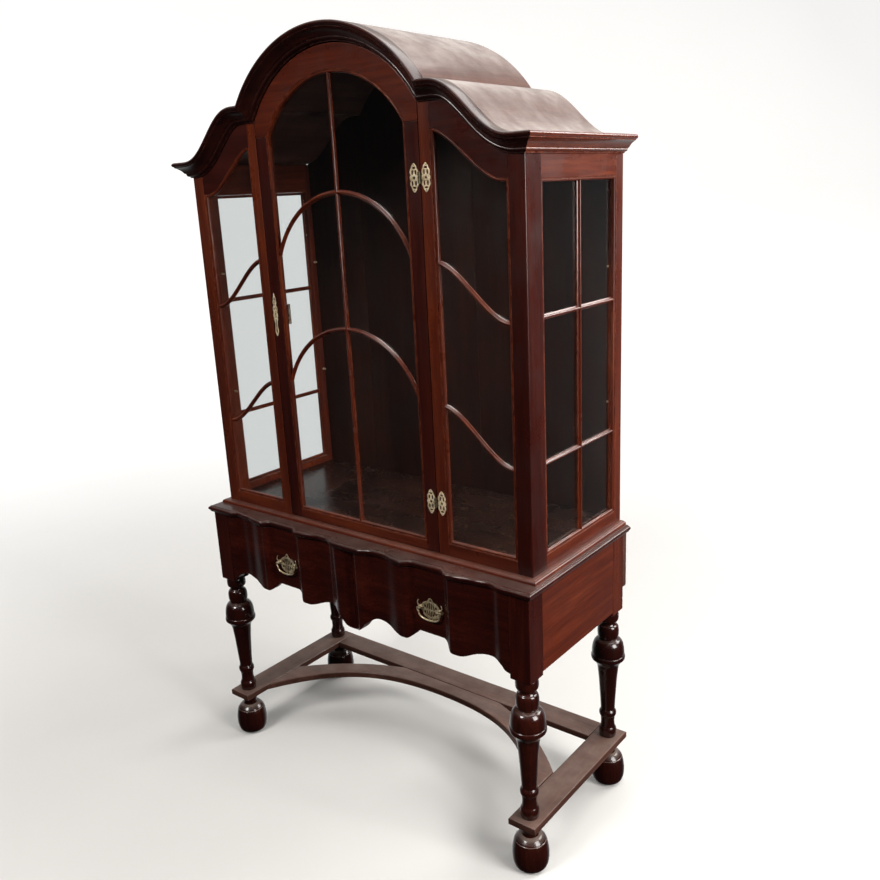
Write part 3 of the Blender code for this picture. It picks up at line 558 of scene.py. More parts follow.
def wood(name, grain, seed, tones, rough=0.32, coat=0.18, dust=0.15, wear=0.5, film=DUST):
    """Figured, polished wood whose grain runs along x, y or z. Tones are dark, middle and light."""
    n = Nodes(name)
    dark, middle, light = tones
    axes = n.new("ShaderNodeSeparateXYZ", {0: n.place})
    along = n.new("ShaderNodeCombineXYZ", {k: axes.outputs[ORDERS[grain][k]] for k in range(3)}).outputs[0]
    rng = random.Random(seed)
    shift = tuple(rng.uniform(-9, 9) for _ in range(3))
    along = n.new("ShaderNodeVectorMath", {0: along, 1: shift}, operation="ADD").outputs[0]
    figure = n.noise(n.scaled(along, (1.3, 17.0, 17.0)), 1.0, 4.0, 0.55, 0.6)
    ribbon = n.noise(n.scaled(along, (3.2, 85.0, 85.0)), 1.0, 4.0, 0.6, 0.3)
    streak = n.noise(n.scaled(along, (14.0, 620.0, 620.0)), 1.0, 3.0, 0.6)
    pores = n.noise(n.scaled(along, (60.0, 1150.0, 1150.0)), 1.0, 2.0, 0.5)
    ramp = n.new("ShaderNodeValToRGB", {"Fac": n.plus(n.times(figure, 0.62), n.times(ribbon, 0.38))})
    stops = ramp.color_ramp.elements
    stops[0].position, stops[1].position = 0.34, 0.66
    stops[0].color, stops[1].color = (*dark, 1.0), (*light, 1.0)
    stops.new(0.5).color = (*middle, 1.0)
    colour = n.mix(n.stretch(streak, 0.35, 0.65, 0.0, 0.55), ramp.outputs["Color"], dark)
    open_pores = n.stretch(pores, 0.60, 0.72)
    colour = n.mix(n.times(open_pores, 0.75), colour, tuple(c * 0.25 for c in dark))
    blotch = n.noise(n.place, 7.0 + seed % 5, 4.0, 0.6)
    colour = n.mix(n.stretch(blotch, 0.35, 0.7, 0.0, 0.35), colour, dark)
    ragged = n.noise(n.place, 55.0, 4.0, 0.65)
    # Outside edges lightened: real wear to the polish, and where wear is set high, as on the glazing bars,
    # a painted highlight along the edge.
    edge_wear_and_highlight = n.times(n.times(n.outside_edges(0.0022), n.stretch(ragged, 0.38, 0.62)), wear)
    colour = n.mix(edge_wear_and_highlight, colour, tuple(min(1.0, c * 1.9 + 0.02) for c in light))
    # Upward faces mixed toward the film colour: real dust, and on the roof and the side cornices a painted
    # sheen as well.
    dust_and_sheen_share = n.stretch(n.noise(n.place, 18.0, 5.0, 0.65), 0.25, 0.8, 0.35, 1.0)
    dust_and_sheen_share = n.times(n.times(n.facing_up(), dust_and_sheen_share), dust)
    smear = n.stretch(blotch, 0.3, 0.75, rough * 0.8, rough * 1.35)
    smear = n.plus(n.plus(smear, n.times(open_pores, 0.12)), n.times(dust_and_sheen_share, 0.45))
    height = n.math("SUBTRACT", n.times(streak, 0.35), open_pores)
    height = n.plus(height, n.times(n.noise(n.place, 38.0, 2.0), 1.2))
    n.feed({
        "Base Color": n.mix(dust_and_sheen_share, colour, film),
        "Roughness": n.plus(smear, n.times(edge_wear_and_highlight, 0.18), clamp=True),
        "Normal": n.bump(height, 0.22, 0.0004),
        "Coat Weight": coat, "Coat Roughness": 0.13, "Specular IOR Level": 0.28,
    })
    return n.material


MAHOGANY = ((0.042, 0.0060, 0.0026), (0.098, 0.0150, 0.0050), (0.170, 0.0330, 0.0095))
DEEP = ((0.010, 0.0020, 0.0015), (0.024, 0.0040, 0.0025), (0.046, 0.0080, 0.0040))
MAROON = ((0.016, 0.0022, 0.0015), (0.038, 0.0048, 0.0027), (0.070, 0.0100, 0.0050))
DULL = ((0.040, 0.0150, 0.0100), (0.080, 0.0330, 0.0230), (0.135, 0.0640, 0.0470))
# Interior wood: a darker tone of its own, taken darker still as painted shade inside the case.
INSIDE_SHADED = ((0.006, 0.0016, 0.0010), (0.014, 0.0036, 0.0020), (0.026, 0.0075, 0.0036))
POPLAR = ((0.260, 0.150, 0.075), (0.380, 0.245, 0.130), (0.480, 0.340, 0.200))
made_woods = {}


def mahogany(grain, seed=1, tones=MAHOGANY, **finish):
    """The cabinet's show wood. Equal requests share one material."""
    key = (grain, seed, tones, tuple(sorted(finish.items())))
    if key not in made_woods:
        made_woods[key] = wood(f"wood_{grain}_{len(made_woods)}", grain, seed, tones, **finish)
    return made_woods[key]


BRASS_BROWN, BRASS_FAIR = (0.27, 0.200, 0.105), (0.66, 0.56, 0.38)


def old_brass(name="old_brass", bright=1.0, metal=0.85):
    """Aged brass: rubbed bright on its raised edges, brown in its hollows."""
    n = Nodes(name)
    mottle = n.noise(n.place, 260.0, 4.0, 0.65)
    cloud = n.noise(n.place, 60.0, 3.0, 0.6)
    tarnish = n.stretch(n.plus(n.times(mottle, 0.5), n.times(cloud, 0.5)), 0.38, 0.62)
    colour = n.mix(tarnish, *[tuple(c * bright for c in tone) for tone in (BRASS_BROWN, BRASS_FAIR)])
    rubbed = n.times(n.outside_edges(0.0012), 0.7 * bright)
    n.feed({
        "Base Color": n.mix(rubbed, colour, (0.90, 0.80, 0.60)),
        "Roughness": n.stretch(tarnish, 0.0, 1.0, 0.50, 0.30),
        "Normal": n.bump(mottle, 0.25, 0.0003),
        "Metallic": metal,
    })
    return n.material


def browned_steel():
    n = Nodes("browned_steel")
    cloud = n.noise(n.place, 90.0, 5.0, 0.7)
    n.feed({
        "Base Color": n.mix(n.stretch(cloud, 0.4, 0.65), (0.34, 0.30, 0.26), (0.16, 0.095, 0.055)),
        "Roughness": n.stretch(cloud, 0.3, 0.7, 0.35, 0.65),
        "Normal": n.bump(cloud, 0.2, 0.0003),
        "Metallic": 0.9,
    })
    return n.material


def window_glass():
    """Old clear glass with a faint wave. Lamps shine through it, so that what is inside is lit."""
    n = Nodes("window_glass")
    ripple = n.noise(n.scaled(n.place, (1.0, 1.0, 0.5)), 9.0, 2.0, 0.4)
    n.feed({
        "Base Color": (0.955, 0.975, 0.968, 1.0), "Normal": n.bump(ripple, 0.05, 0.002),
        "Roughness": 0.0, "IOR": 1.5, "Transmission Weight": 1.0,
    })
    n.clear_where(n.new("ShaderNodeLightPath").outputs["Is Shadow Ray"], (0.93, 0.95, 0.94, 1.0))
    return n.material


BRASS, STEEL, GLASS = old_brass(bright=1.1, metal=0.6), browned_steel(), window_glass()
RUBBED = old_brass("rubbed_brass", 1.48, 0.30)
# Much darker brass for the hinge necks, knuckles and rods, where the hinge meets the gap between door and
# frame.
DARKENED_BRASS = old_brass("darkened_brass", 0.30)
SIDES = (("left", -1), ("right", 1))

# ---------------------------------------------------------------- stand: feet, legs, stretchers
FOOT = mm(
    (0, 131.7), (22, 131.7, 0), (24.2, 129), (24.6, 123), (23.6, 116.5, 0), (21.5, 114.5, 0), (20.5, 106),
    (22.2, 99, 0), (30, 96.2), (37.6, 88.6), (40, 85.2, 0), (39.4, 84.3, 0), (41.2, 82.9, 0),
    (44.2, 73.5), (47, 57), (47.8, 42), (46.8, 26), (42.4, 11), (33, 2.2), (24, 0, 0), (0, 0),
)
LEG = mm(
    (0, 560), (20, 560, 0), (20.5, 546.5, 0), (25.5, 544.5, 0), (28, 538.5), (28.8, 530), (28.4, 521.5),
    (26.2, 516.8), (23.8, 515.2, 0), (20.8, 511.5), (20.6, 508), (22.6, 504.5, 0), (26.6, 500.2),
    (29, 492.5), (29.5, 483), (28.9, 473), (26.8, 464), (25, 461.7, 0), (27.8, 460.6, 0), (34.6, 456.6),
    (40.6, 447.6), (43.8, 434), (45, 420), (44.6, 412.6, 0), (46.1, 410.8), (47, 406), (46.3, 400.5),
    (42.8, 396.5, 0), (36.2, 389), (31.2, 380), (29, 370), (27.5, 355), (25.4, 335), (23.1, 300),
    (20.7, 261), (19.6, 237, 0), (21.2, 234.5, 0), (23.4, 230), (24, 225), (23.4, 219.8), (21, 216, 0),
    (19.8, 210), (19, 201), (19.2, 192), (20.3, 183.5), (22.2, 179.5, 0), (24.1, 174.5), (24.6, 166),
    (24.1, 157), (23.2, 152.3, 0), (0, 152.3),
)
for n_leg, where in enumerate(("front_left", "front_right", "rear_left", "rear_right")):
    low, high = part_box("foot_" + where)
    spot = ((low.x + high.x) / 2, (low.y + high.y) / 2, 0)
    foot = lathe("foot_turning_" + where, spline(FOOT), spot)
    piece(foot, mahogany("z", 40 + n_leg, DEEP, rough=0.20, coat=0.5, dust=0.5, wear=0.65), "foot_" + where)
    turning = lathe("leg_turning_" + where, spline(LEG), spot)
    low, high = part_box("leg_" + where)
    half = 0.029
    block = plank(
        "leg_block_" + where, (spot[0] - half, spot[0] + half), (spot[1] - half, spot[1] + half),
        (0.5452, high.z), 0.0014,
    )
    shine = dict(rough=0.20, coat=0.6, dust=0.12, wear=0.6)
    piece(turning, mahogany("z", 20 + n_leg, DEEP, **shine), "leg_" + where)
    tones = MAROON if "front" in where else MAHOGANY
    piece(block, mahogany("z", 30 + n_leg, tones, rough=0.27), "leg_" + where)

TREAD = dict(rough=0.40, coat=0.12, dust=0.28, wear=0.5)
ROUNDED = [(STRETCH_LOW, 0.0015), (STRETCH_LOW + 0.0015, 0.0), (STRETCH_TOP - 0.0050, 0.0)]
ROUNDED += [(STRETCH_TOP - 0.0050 + z, 0.0045 - r) for r, z in round_arc((0, 0), 0.0045, 15, 90, 5)]
for word in ("left", "right", "back"):
    node = "stretcher_" + word
    (x0, y0, _), (x1, y1, _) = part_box(node)
    board = stack("stretcher_board_" + word, [(x0, y0), (x1, y0), (x1, y1), (x0, y1)], ROUNDED)
    piece(board, mahogany("x" if word == "back" else "y", len(word), DULL, **TREAD), node)


def bow(x, apex, square, fourth):
    return apex + square * x * x + fourth * x**4


reach = edge("stretcher_bow", HIGH, "x")
stations = [reach * (1 - 2 * i / 96) for i in range(97)]
touch = 0.048 + 0.0395 + 0.0003
front_line = [(x, fwd(bow(x, 0.135, 0.470, 2.68))) for x in stations]
rear_line = [(x, fwd(max(bow(x, 0.060, 0.760, 0.528), touch))) for x in stations]
board = stack("stretcher_bow_board", (front_line + rear_line[::-1])[::-1], ROUNDED)
piece(board, mahogany("x", 9, DULL, **TREAD), "stretcher_bow")

# ---------------------------------------------------------------- stand: aprons and runners
RUNNER_TOP = 0.6045
for word, sign in SIDES:
    (x0, y0, z0), (x1, y1, z1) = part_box("apron_" + word)
    outer = sign * STAND_HALF
    inner = outer - sign * 0.022
    apron = plank("apron_board_" + word, (inner, outer), (y0 + SEAM, y1 - SEAM), (z0, z1), 0.0008)
    piece(apron, mahogany("y", 5 + sign, MAHOGANY, rough=0.34), "apron_" + word)
    xs = (sign * 0.487, inner - sign * 0.001)
    runner = plank("runner_" + word, xs, (y0 + 0.002, y1 - 0.002), (0.598, RUNNER_TOP))
    piece(runner, mahogany("y", 71, POPLAR, rough=0.6, coat=0.0), "apron_" + word)
(x0, y0, z0), (x1, y1, z1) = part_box("apron_back")
apron = plank("apron_back_board", (x0, x1), (y0, y1), (z0, z1), 0.0008)
piece(apron, mahogany("x", 77, DULL, rough=0.5), "apron_back")
(x0, y0, z0), (x1, y1, z1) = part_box("drawer_divider")
wall = plank("divider_wall", (-0.0055, 0.0055), (y0, y1), (RUNNER_TOP, z1))
ledge = plank("divider_ledge", (x0, x1), (y0 + 0.002, y1 - 0.001), (z0, RUNNER_TOP))
for part_of in (wall, ledge):
    piece(part_of, mahogany("y", 72, POPLAR, rough=0.6, coat=0.0), "drawer_divider")

# ---------------------------------------------------------------- waist and base mouldings
NOSE = NOSE_HALF - STAND_HALF
count = 260
nose_xs = [NOSE_HALF * (2 * i / count - 1) for i in range(count + 1)]
nose = [
    (x, fwd(STAND_DEPTH + NOSE - (wave(x, NOSE_WAVE) if abs(x) < 0.55 else 0.0))) for x in nose_xs
]
plan = nose + [(NOSE_HALF, BACK), (-NOSE_HALF, BACK)]


def back_pinned(before, after):
    """The back edge stays straight and in place."""
    return (after[0], BACK) if before[1] >= BACK - 0.00001 else after


tall = WAIST_TOP - WAIST_LOW
levels = [(WAIST_TOP, 0.0085), (WAIST_TOP - 0.0012, 0.0080), (WAIST_TOP - 0.0016, 0.0062)]
nosing = round_arc((0, 0), (0.0062, 0.0060), 78, -62, 9)
levels += [(WAIST_TOP - 0.0080 + z, 0.0062 - r) for r, z in nosing]
levels += [(WAIST_TOP - 0.0142, 0.0036), (WAIST_TOP - 0.0152, 0.0046)]
hollow = round_arc((0.0058, 0.0), (0.0058, 0.0050), 180, 90, 5)
levels += [(WAIST_TOP - 0.0152 - z, 0.0046 + r) for r, z in hollow]
levels += [(WAIST_LOW, 0.0108)]
waist = stack("waist_moulding_board", plan, levels, back_pinned, smooth=32)
piece(waist, mahogany("x", 3, MAROON, rough=0.27, coat=0.3, dust=0.16, wear=0.7), "waist_moulding")

(x0, y0, z0), (x1, y1, _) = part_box("case_base")
z1 = CASE_LOW - 0.0003
corners = [(x0, y0), (x1, y0), (x1, BACK), (x0, BACK)]
levels = [(z1, 0.0075), (z1 - 0.0008, 0.0066)]
levels += [(z1 - 0.0070 + z, 0.0062 - r) for r, z in round_arc((0, 0), (0.0062, 0.0060), 80, 0, 7)]
levels += [(z0, 0.0)]
base = stack("case_base_moulding", corners, levels, back_pinned)
piece(base, mahogany("x", 4, MAHOGANY, dust=0.16, wear=0.7), "case_base")
inner = HALF - WALL - 0.0003
floor_ys = (FRONT + WALL + 0.0003, BACK - 0.0192)
boards = spaced(floor_ys[0], floor_ys[1], 4)
for i, (near, far) in enumerate(zip(boards, boards[1:])):
    ys = (near + SEAM, far - SEAM)
    board = plank(f"case_floor_{i}", (-inner, inner), ys, (z1 - 0.002, FLOOR_TOP), 0.0008)
    piece(board, mahogany("x", 50 + i, INSIDE_SHADED, rough=0.24, coat=0.2, dust=0.02), "case_base")

# ---------------------------------------------------------------- corner posts and side frames
POST_ROUND = 0.0035


def moulded_edge(name, path, plane, face, inward, node, grain, seed, *more_nodes):
    """A rounded strip along the edge of an opening. The frame is on the left of the closed path."""
    r = 0.0046
    profile = [(0.0, STICK_BACK)]
    profile += [(r - r * math.cos(a), 0.0007 + r - r * math.sin(a)) for a in quarter(6)]
    profile += [(0.0052, 0.0009), (0.0056, 0.0024), (0.0064, 0.0024), (0.0066, 0.0004)]
    profile += [(STICK - SEAM, 0.0004), (STICK - SEAM, STICK_BACK)]
    profile = [(across, face + inward * behind) for across, behind in profile]
    strip = sweep(name, path, profile, plane, closed=True)
    return piece(strip, mahogany(grain, seed, MAHOGANY, wear=0.75), node, *more_nodes)


for word, sign in SIDES:
    corner = [(HALF - POST_ROUND + r, FRONT + POST_ROUND + d) for r, d in
              round_arc((0, 0), POST_ROUND, -90, 0, 6)]
    corner += [
        (HALF, POST_REAR - STICK), (HALF - WALL, POST_REAR - STICK), (HALF - WALL, FRONT + WALL),
        (POST_IN + STICK, FRONT + WALL), (POST_IN + STICK, FRONT),
    ]
    rings = [[(u, v, z) for u, v in mirrored(corner, sign)] for z in (CASE_LOW, POST_TOP)]
    post = eased(rings_to_mesh("corner_post_board_" + word, rings), 0.0004, 1)
    tones = MAROON if sign > 0 else MAHOGANY
    piece(post, mahogany("z", 11 + sign, tones, wear=0.75), "corner_post_" + word)

    outer, inside = sign * HALF, sign * (HALF - WALL)
    node = "side_frame_" + word
    xs = (inside, outer)
    stile = plank("side_stile_" + word, xs, (REAR_STILE + STICK + SEAM, BACK), (CASE_LOW, POST_TOP), 0.0008)
    piece(stile, mahogany("z", 13 + sign), node)
    rails = {
        "sill": (CASE_LOW, SIDE_SILL - STICK - SEAM), "head": (SIDE_HEAD + STICK + SEAM, POST_TOP),
    }
    for tag, zs in rails.items():
        ys = (POST_REAR - STICK + SEAM, REAR_STILE + STICK - SEAM)
        rail = plank(f"side_{tag}_{word}", xs, ys, zs, 0.0006)
        piece(rail, mahogany("y", 15 + sign + len(tag)), node)
    loop = [
        (POST_REAR, SIDE_SILL), (POST_REAR, SIDE_HEAD), (REAR_STILE, SIDE_HEAD), (REAR_STILE, SIDE_SILL),
    ]
    moulded_edge("side_sticking_" + word, loop, "side", outer, -sign, node, "z", 17)

# ---------------------------------------------------------------- back panel
under = offset(crown(HALF), ROOF_THICK + 0.0003)
(x0, y0, z0), (x1, y1, z1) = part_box("back_panel")
marks = spaced(x0, x1, 6)
for i, (near, far) in enumerate(zip(marks, marks[1:])):
    top = clip(under, near + 0.0004, far - 0.0004)
    outline = top + [(near + 0.0004, z0), (far - 0.0004, z0)]
    board = slab(f"back_board_{i}", outline, "front", (y0 + 0.003, y1 - 0.003), 0.0008)
    piece(board, mahogany("z", 60 + i, INSIDE_SHADED, rough=0.38, coat=0.06), "back_panel")
for i, z in enumerate((z0 + 0.03, 1.30, 1.745)):
    xs = (x0 + 0.001, x1 - 0.001)
    batten = plank(f"back_batten_{i}", xs, (y1 - 0.0030, y1), (z - 0.02, z + 0.02), 0.0010)
    piece(batten, mahogany("x", 67 + i, INSIDE_SHADED, rough=0.5, coat=0.05), "back_panel")

# ---------------------------------------------------------------- fixed front frames
for word, sign in SIDES:
    node = "panel_frame_" + word
    ys = (FRONT, FRONT + WALL)
    heads = [(x, panel_head(x)) for x in spaced(STILE_OUT, POST_IN, 40)]
    top = clip(under, STILE_IN, STILE_OUT - STICK - SEAM)
    outline = [(STILE_IN, CASE_LOW), (STILE_OUT - STICK - SEAM, CASE_LOW), *top, (STILE_IN, 1.900)]
    stile = slab("panel_stile_" + word, mirrored(outline, sign), "front", ys, 0.0007)
    piece(stile, mahogany("z", 80 + sign, MAHOGANY, wear=0.7), node)
    sill = plank(
        "panel_sill_" + word, (sign * (STILE_OUT - STICK + SEAM), sign * (POST_IN + STICK - SEAM)), ys,
        (CASE_LOW, PANEL_SILL - STICK - SEAM), 0.0006,
    )
    piece(sill, mahogany("x", 83 + sign), node)
    lower = offset(heads, STICK + SEAM)
    lower = [p for p in lower if STILE_OUT - STICK + SEAM < p[0] < POST_IN + STICK - SEAM]
    left, right = STILE_OUT - STICK + SEAM, POST_IN + STICK - SEAM
    lower = [(left, lower[0][1]), *lower, (right, lower[-1][1])]
    upper = clip(under, left, right)
    head = slab("panel_head_" + word, mirrored(lower + upper, sign), "front", ys, 0.0006)
    piece(head, mahogany("x", 86 + sign, MAROON), node)
    loop = [(STILE_OUT, PANEL_SILL), *heads, (POST_IN, PANEL_SILL)]
    moulded_edge("panel_sticking_" + word, mirrored(loop, sign), "front", FRONT, 1, node, "z", 89)


# ---------------------------------------------------------------- panes and glazing bars
def bar_profile(back, face):
    """Section of a glazing bar: a fillet at each side, a hollow, and a bead along the middle."""
    turn = math.copysign(1.0, face - back)
    tall = abs(face - back)
    half = [(MUNTIN / 2, 0.0), (MUNTIN / 2, 0.0026), (0.0052, 0.0031), (0.0040, 0.0037), (0.0032, 0.0047)]
    half += round_arc((0.0, tall - 0.0029), 0.0029, 0, 90, 6)
    whole = half + [(-across, out) for across, out in half[-2::-1]]
    return [(across, back + turn * out) for across, out in whole]


def bar(name, path, plane, back, face, node, grain, seed):
    strip = sweep(name, path, bar_profile(back, face), plane, smooth=50)
    # wear is set high here as a painted highlight along the bead of each bar.
    return piece(strip, mahogany(grain, seed, MAHOGANY, wear=0.9, rough=0.24, coat=0.3), node)


def pane(name, outline, plane, across, node):
    return piece(slab(name, outline, plane, across, 0.0003), GLASS, node)


glass_ys = tuple(corner.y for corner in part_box("door_glass"))
INTO = 0.0034  # how far a bar runs into the moulded edge
for word, sign in SIDES:
    xs = spaced(STILE_OUT - BITE, POST_IN + BITE, 40)
    outline = [(xs[0], PANEL_SILL - BITE)] + [(x, panel_head(x) + BITE) for x in xs]
    outline.append((xs[-1], PANEL_SILL - BITE))
    pane("panel_pane_" + word, mirrored(outline, sign), "front", glass_ys, "panel_glass_" + word)
    for tag, top in OGEE_TOPS.items():
        path = [(x, cyma(x, top)) for x in spaced(STILE_OUT - INTO, POST_IN + INTO, 44)]
        node = f"panel_muntin_{tag}_{word}"
        name = f"ogee_bar_{tag}_{word}"
        bar(name, mirrored(path, sign), "front", BAR_BACK, BAR_FRONT, node, "x", 91)

    node = "side_glass_" + word
    (x0, y0, z0), (x1, y1, z1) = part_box(node)
    pane("side_pane_" + word, [(y0, z0), (y1, z0), (y1, z1), (y0, z1)], "side", (x0, x1), node)
    node = "side_muntins_" + word
    xs = sorted((edge(node, LOW, "x"), edge(node, HIGH, "x")), key=abs)
    middle = (edge(node, LOW, "y") + edge(node, HIGH, "y")) / 2
    upright = spaced(SIDE_SILL - INTO, SIDE_HEAD + INTO, 4)
    bar("side_bar_upright_" + word, [(middle, z) for z in upright], "side", *xs, node, "z", 93)
    for i, z in enumerate(SIDE_BARS):
        level = [(y, z) for y in spaced(POST_REAR - INTO, REAR_STILE + INTO, 4)]
        bar(f"side_bar_level_{i}_{word}", level, "side", xs[0], xs[1] - sign * 0.0003, node, "y", 94 + i)

# ---------------------------------------------------------------- crown: header, roof, cornice
front_ys = (FRONT, FRONT + WALL)
half_head = edge("arch_header", HIGH, "x")
roof_line = clip(under, -half_head, half_head)
opening = arc(DOOR_R + 0.0025, ARCH_Z, half_head, 64)
header = slab("arch_header_board", roof_line + opening[::-1], "front", front_ys, 0.0008)
piece(header, mahogany("x", 101, MAROON, wear=0.6), "arch_header")

roof_half = HALF - 0.0003
upper = crown(roof_half, 64, 48)
lower = offset(upper, ROOF_THICK)
lower[0] = (roof_half, CORNICE_Z - ROOF_THICK)
lower[-1] = (-roof_half, CORNICE_Z - ROOF_THICK)
roof = slab("roof_shell", upper + lower[::-1], "front", (FRONT, BACK), 0.0006)
# The roof's pale top is partly real dust and partly painted sheen.
piece(roof, mahogany("y", 103, DULL, rough=0.36, coat=0.30, dust=0.95, film=(0.345, 0.305, 0.282)), "roof")

# (down from the top, out from the case)
CORNICE = [(0.0, 0.0), (0.0, 0.0335), (0.0006, 0.0352), (0.0020, 0.0372)]
CORNICE += [(0.0048, 0.0388), (0.0076, 0.0386), (0.0098, 0.0372), (0.0110, 0.0352), (0.0112, 0.0338)]
CORNICE += [(0.0134, 0.0338), (0.0136, 0.0330)]
CORNICE += [
    (0.0136 + 0.0158 * math.sin(a), 0.0150 + 0.0180 * (1 - math.sin(a)) * (1 - 0.35 * math.sin(2 * a)))
    for a in quarter(8)[1:]
]
CORNICE += [(0.0300, 0.0146), (0.0302, 0.0124), (0.0318, 0.0124), (0.0320, 0.0112), (0.0336, 0.0116)]
CORNICE += [(0.0354, 0.0110), (0.0370, 0.0094), (0.0380, 0.0074), (0.0382, 0.0052), (0.0396, 0.0050)]
CORNICE += [(0.0398, 0.0034), (0.0420, 0.0034), (0.0420, 0.0)]
gap = 0.0003


def mitre(i, down, y):
    """The cornice's end section, in the plane of the mitre at a front corner."""
    side = 1 if i == 0 else -1
    return side * (HALF - y + FRONT - 2 * gap), CORNICE_Z - down, y


profile = [(down, FRONT - gap - out) for down, out in CORNICE]
crest = crown(HALF + CORNICE_OUT, 64, 48)
cornice = sweep("cornice_front_moulding", crest, profile, "front", ends=mitre, smooth=30)
gloss = dict(rough=0.26, coat=0.35, dust=0.3, wear=0.7)
piece(cornice, mahogany("x", 105, DEEP, **gloss), "cornice_front")
# The side cornices take a heavy pale film: a painted reflection of glare on their tops, beyond real dust.
gloss.update(dust=0.7, film=(0.40, 0.34, 0.33))
for word, sign in SIDES:
    rings = [
        [(sign * (HALF + gap + out), y if y else FRONT - out, CORNICE_Z - down) for down, out in CORNICE]
        for y in (0.0, BACK)
    ]
    run = rings_to_mesh("cornice_moulding_" + word, rings, smooth=30)
    piece(run, mahogany("y", 107 + sign, MAHOGANY, **gloss), "cornice_" + word)

# ---------------------------------------------------------------- the door
light_arc = arc(LIGHT_R, LIGHT_Z, DOOR_LIGHT, 56)
frame_inner = DOOR_LIGHT + STICK + SEAM
for word, sign in SIDES:
    xs = (sign * frame_inner, sign * DOOR_HALF)
    stile = plank("door_stile_board_" + word, xs, front_ys, (DOOR_LOW, DOOR_SPRING), 0.0013)
    piece(stile, mahogany("z", 111 + sign, MAROON, wear=0.8), "door_stile_" + word)
outside = arc(DOOR_R, ARCH_Z, DOOR_HALF, 64)
inside = arc(LIGHT_R + STICK + SEAM, LIGHT_Z, frame_inner, 56)
spring = DOOR_SPRING + 2 * SEAM
inside = [p for p in inside if p[1] > spring + 0.0004]
outline = [(DOOR_HALF, spring), *outside, (-DOOR_HALF, spring), (-frame_inner, spring)]
outline += inside[::-1] + [(frame_inner, spring)]
rail = slab("door_arch_board", outline, "front", front_ys, 0.0010)
piece(rail, mahogany("x", 114, MAHOGANY, wear=0.8), "door_top_rail")
reach = frame_inner - 2 * SEAM
rail = plank("door_sill_board", (-reach, reach), front_ys, (DOOR_LOW, DOOR_SILL - STICK - SEAM), 0.0010)
piece(rail, mahogany("x", 115, MAHOGANY), "door_bottom_rail")
loop = [(-DOOR_LIGHT, DOOR_SILL), *light_arc[::-1], (DOOR_LIGHT, DOOR_SILL)]
moulded_edge(
    "door_sticking", loop, "front", FRONT, 1, "door_stile_left", "z", 116,
    "door_stile_right", "door_top_rail", "door_bottom_rail",
)
wide = DOOR_LIGHT + BITE
outline = arc(LIGHT_R + BITE, LIGHT_Z, wide, 56) + [(-wide, DOOR_SILL - BITE), (wide, DOOR_SILL - BITE)]
pane("door_pane", outline, "front", glass_ys, "door_glass")
upright = [(0.0, z) for z in spaced(DOOR_SILL - INTO, LIGHT_Z + LIGHT_R + INTO, 6)]
bar("door_bar_upright", upright, "front", BAR_BACK, BAR_FRONT, "door_muntins", "z", 117)
for i, centre in enumerate(MUNTIN_ZS):
    path = arc(MUNTIN_R, centre, DOOR_LIGHT + 0.0030, 48)
    bar(f"door_bar_arch_{i}", path, "front", BAR_BACK, BAR_FRONT + 0.0003, "door_muntins", "x", 118 + i)

# ---------------------------------------------------------------- drawers
DRAWER_TOP = edge("drawer_front_left", HIGH, "z")
FACE = STAND_DEPTH - 0.001
front_back = fwd(FRONT_BACK)


def front_section(x, shrink=0.0):
    """Section of a drawer front at this x, with rounded front edges."""
    face, low, high = fwd(FACE - wave(x)) + shrink, scallop(x) + shrink, DRAWER_TOP - shrink
    ring = [(x, front_back - shrink, high), (x, front_back - shrink, low)]
    r = 0.0022
    ring += [(x, face + r - r * math.sin(a), low + r - r * math.cos(a)) for a in quarter(4)]
    r = 0.0012
    ring += [(x, face + r - r * math.cos(a), high - r + r * math.sin(a)) for a in quarter(3)]
    return ring


def dovetailed(name, xs, ys, zs, count=3):
    """A drawer side whose front end is cut into tails, and the pins that fill the gaps."""
    y_front, y_rear = ys
    depth, step = 0.009, (zs[1] - zs[0]) / count
    tails = [(y_rear, zs[1]), (y_rear, zs[0])]
    pins = []
    y_in = y_front + depth
    for i in range(count):
        low, high = zs[0] + step * i, zs[0] + step * (i + 1)
        narrow, wide = step * 0.24, step * 0.14
        below = [(y_in, low), (y_in, low + narrow), (y_front, low + wide)]
        over = [(y_front, high - wide), (y_in, high - narrow), (y_in, high)]
        tails += below + over
        pins += [[(y_front, low), *below], [*over, (y_front, high)]]
    side = slab(name, [p for i, p in enumerate(tails) if i == 0 or p != tails[i - 1]], "side", xs, 0.0003)
    fill = [slab(f"{name}_pin_{i}", outline, "side", xs, 0) for i, outline in enumerate(pins)]
    return side, join(name + "_pins", fill)


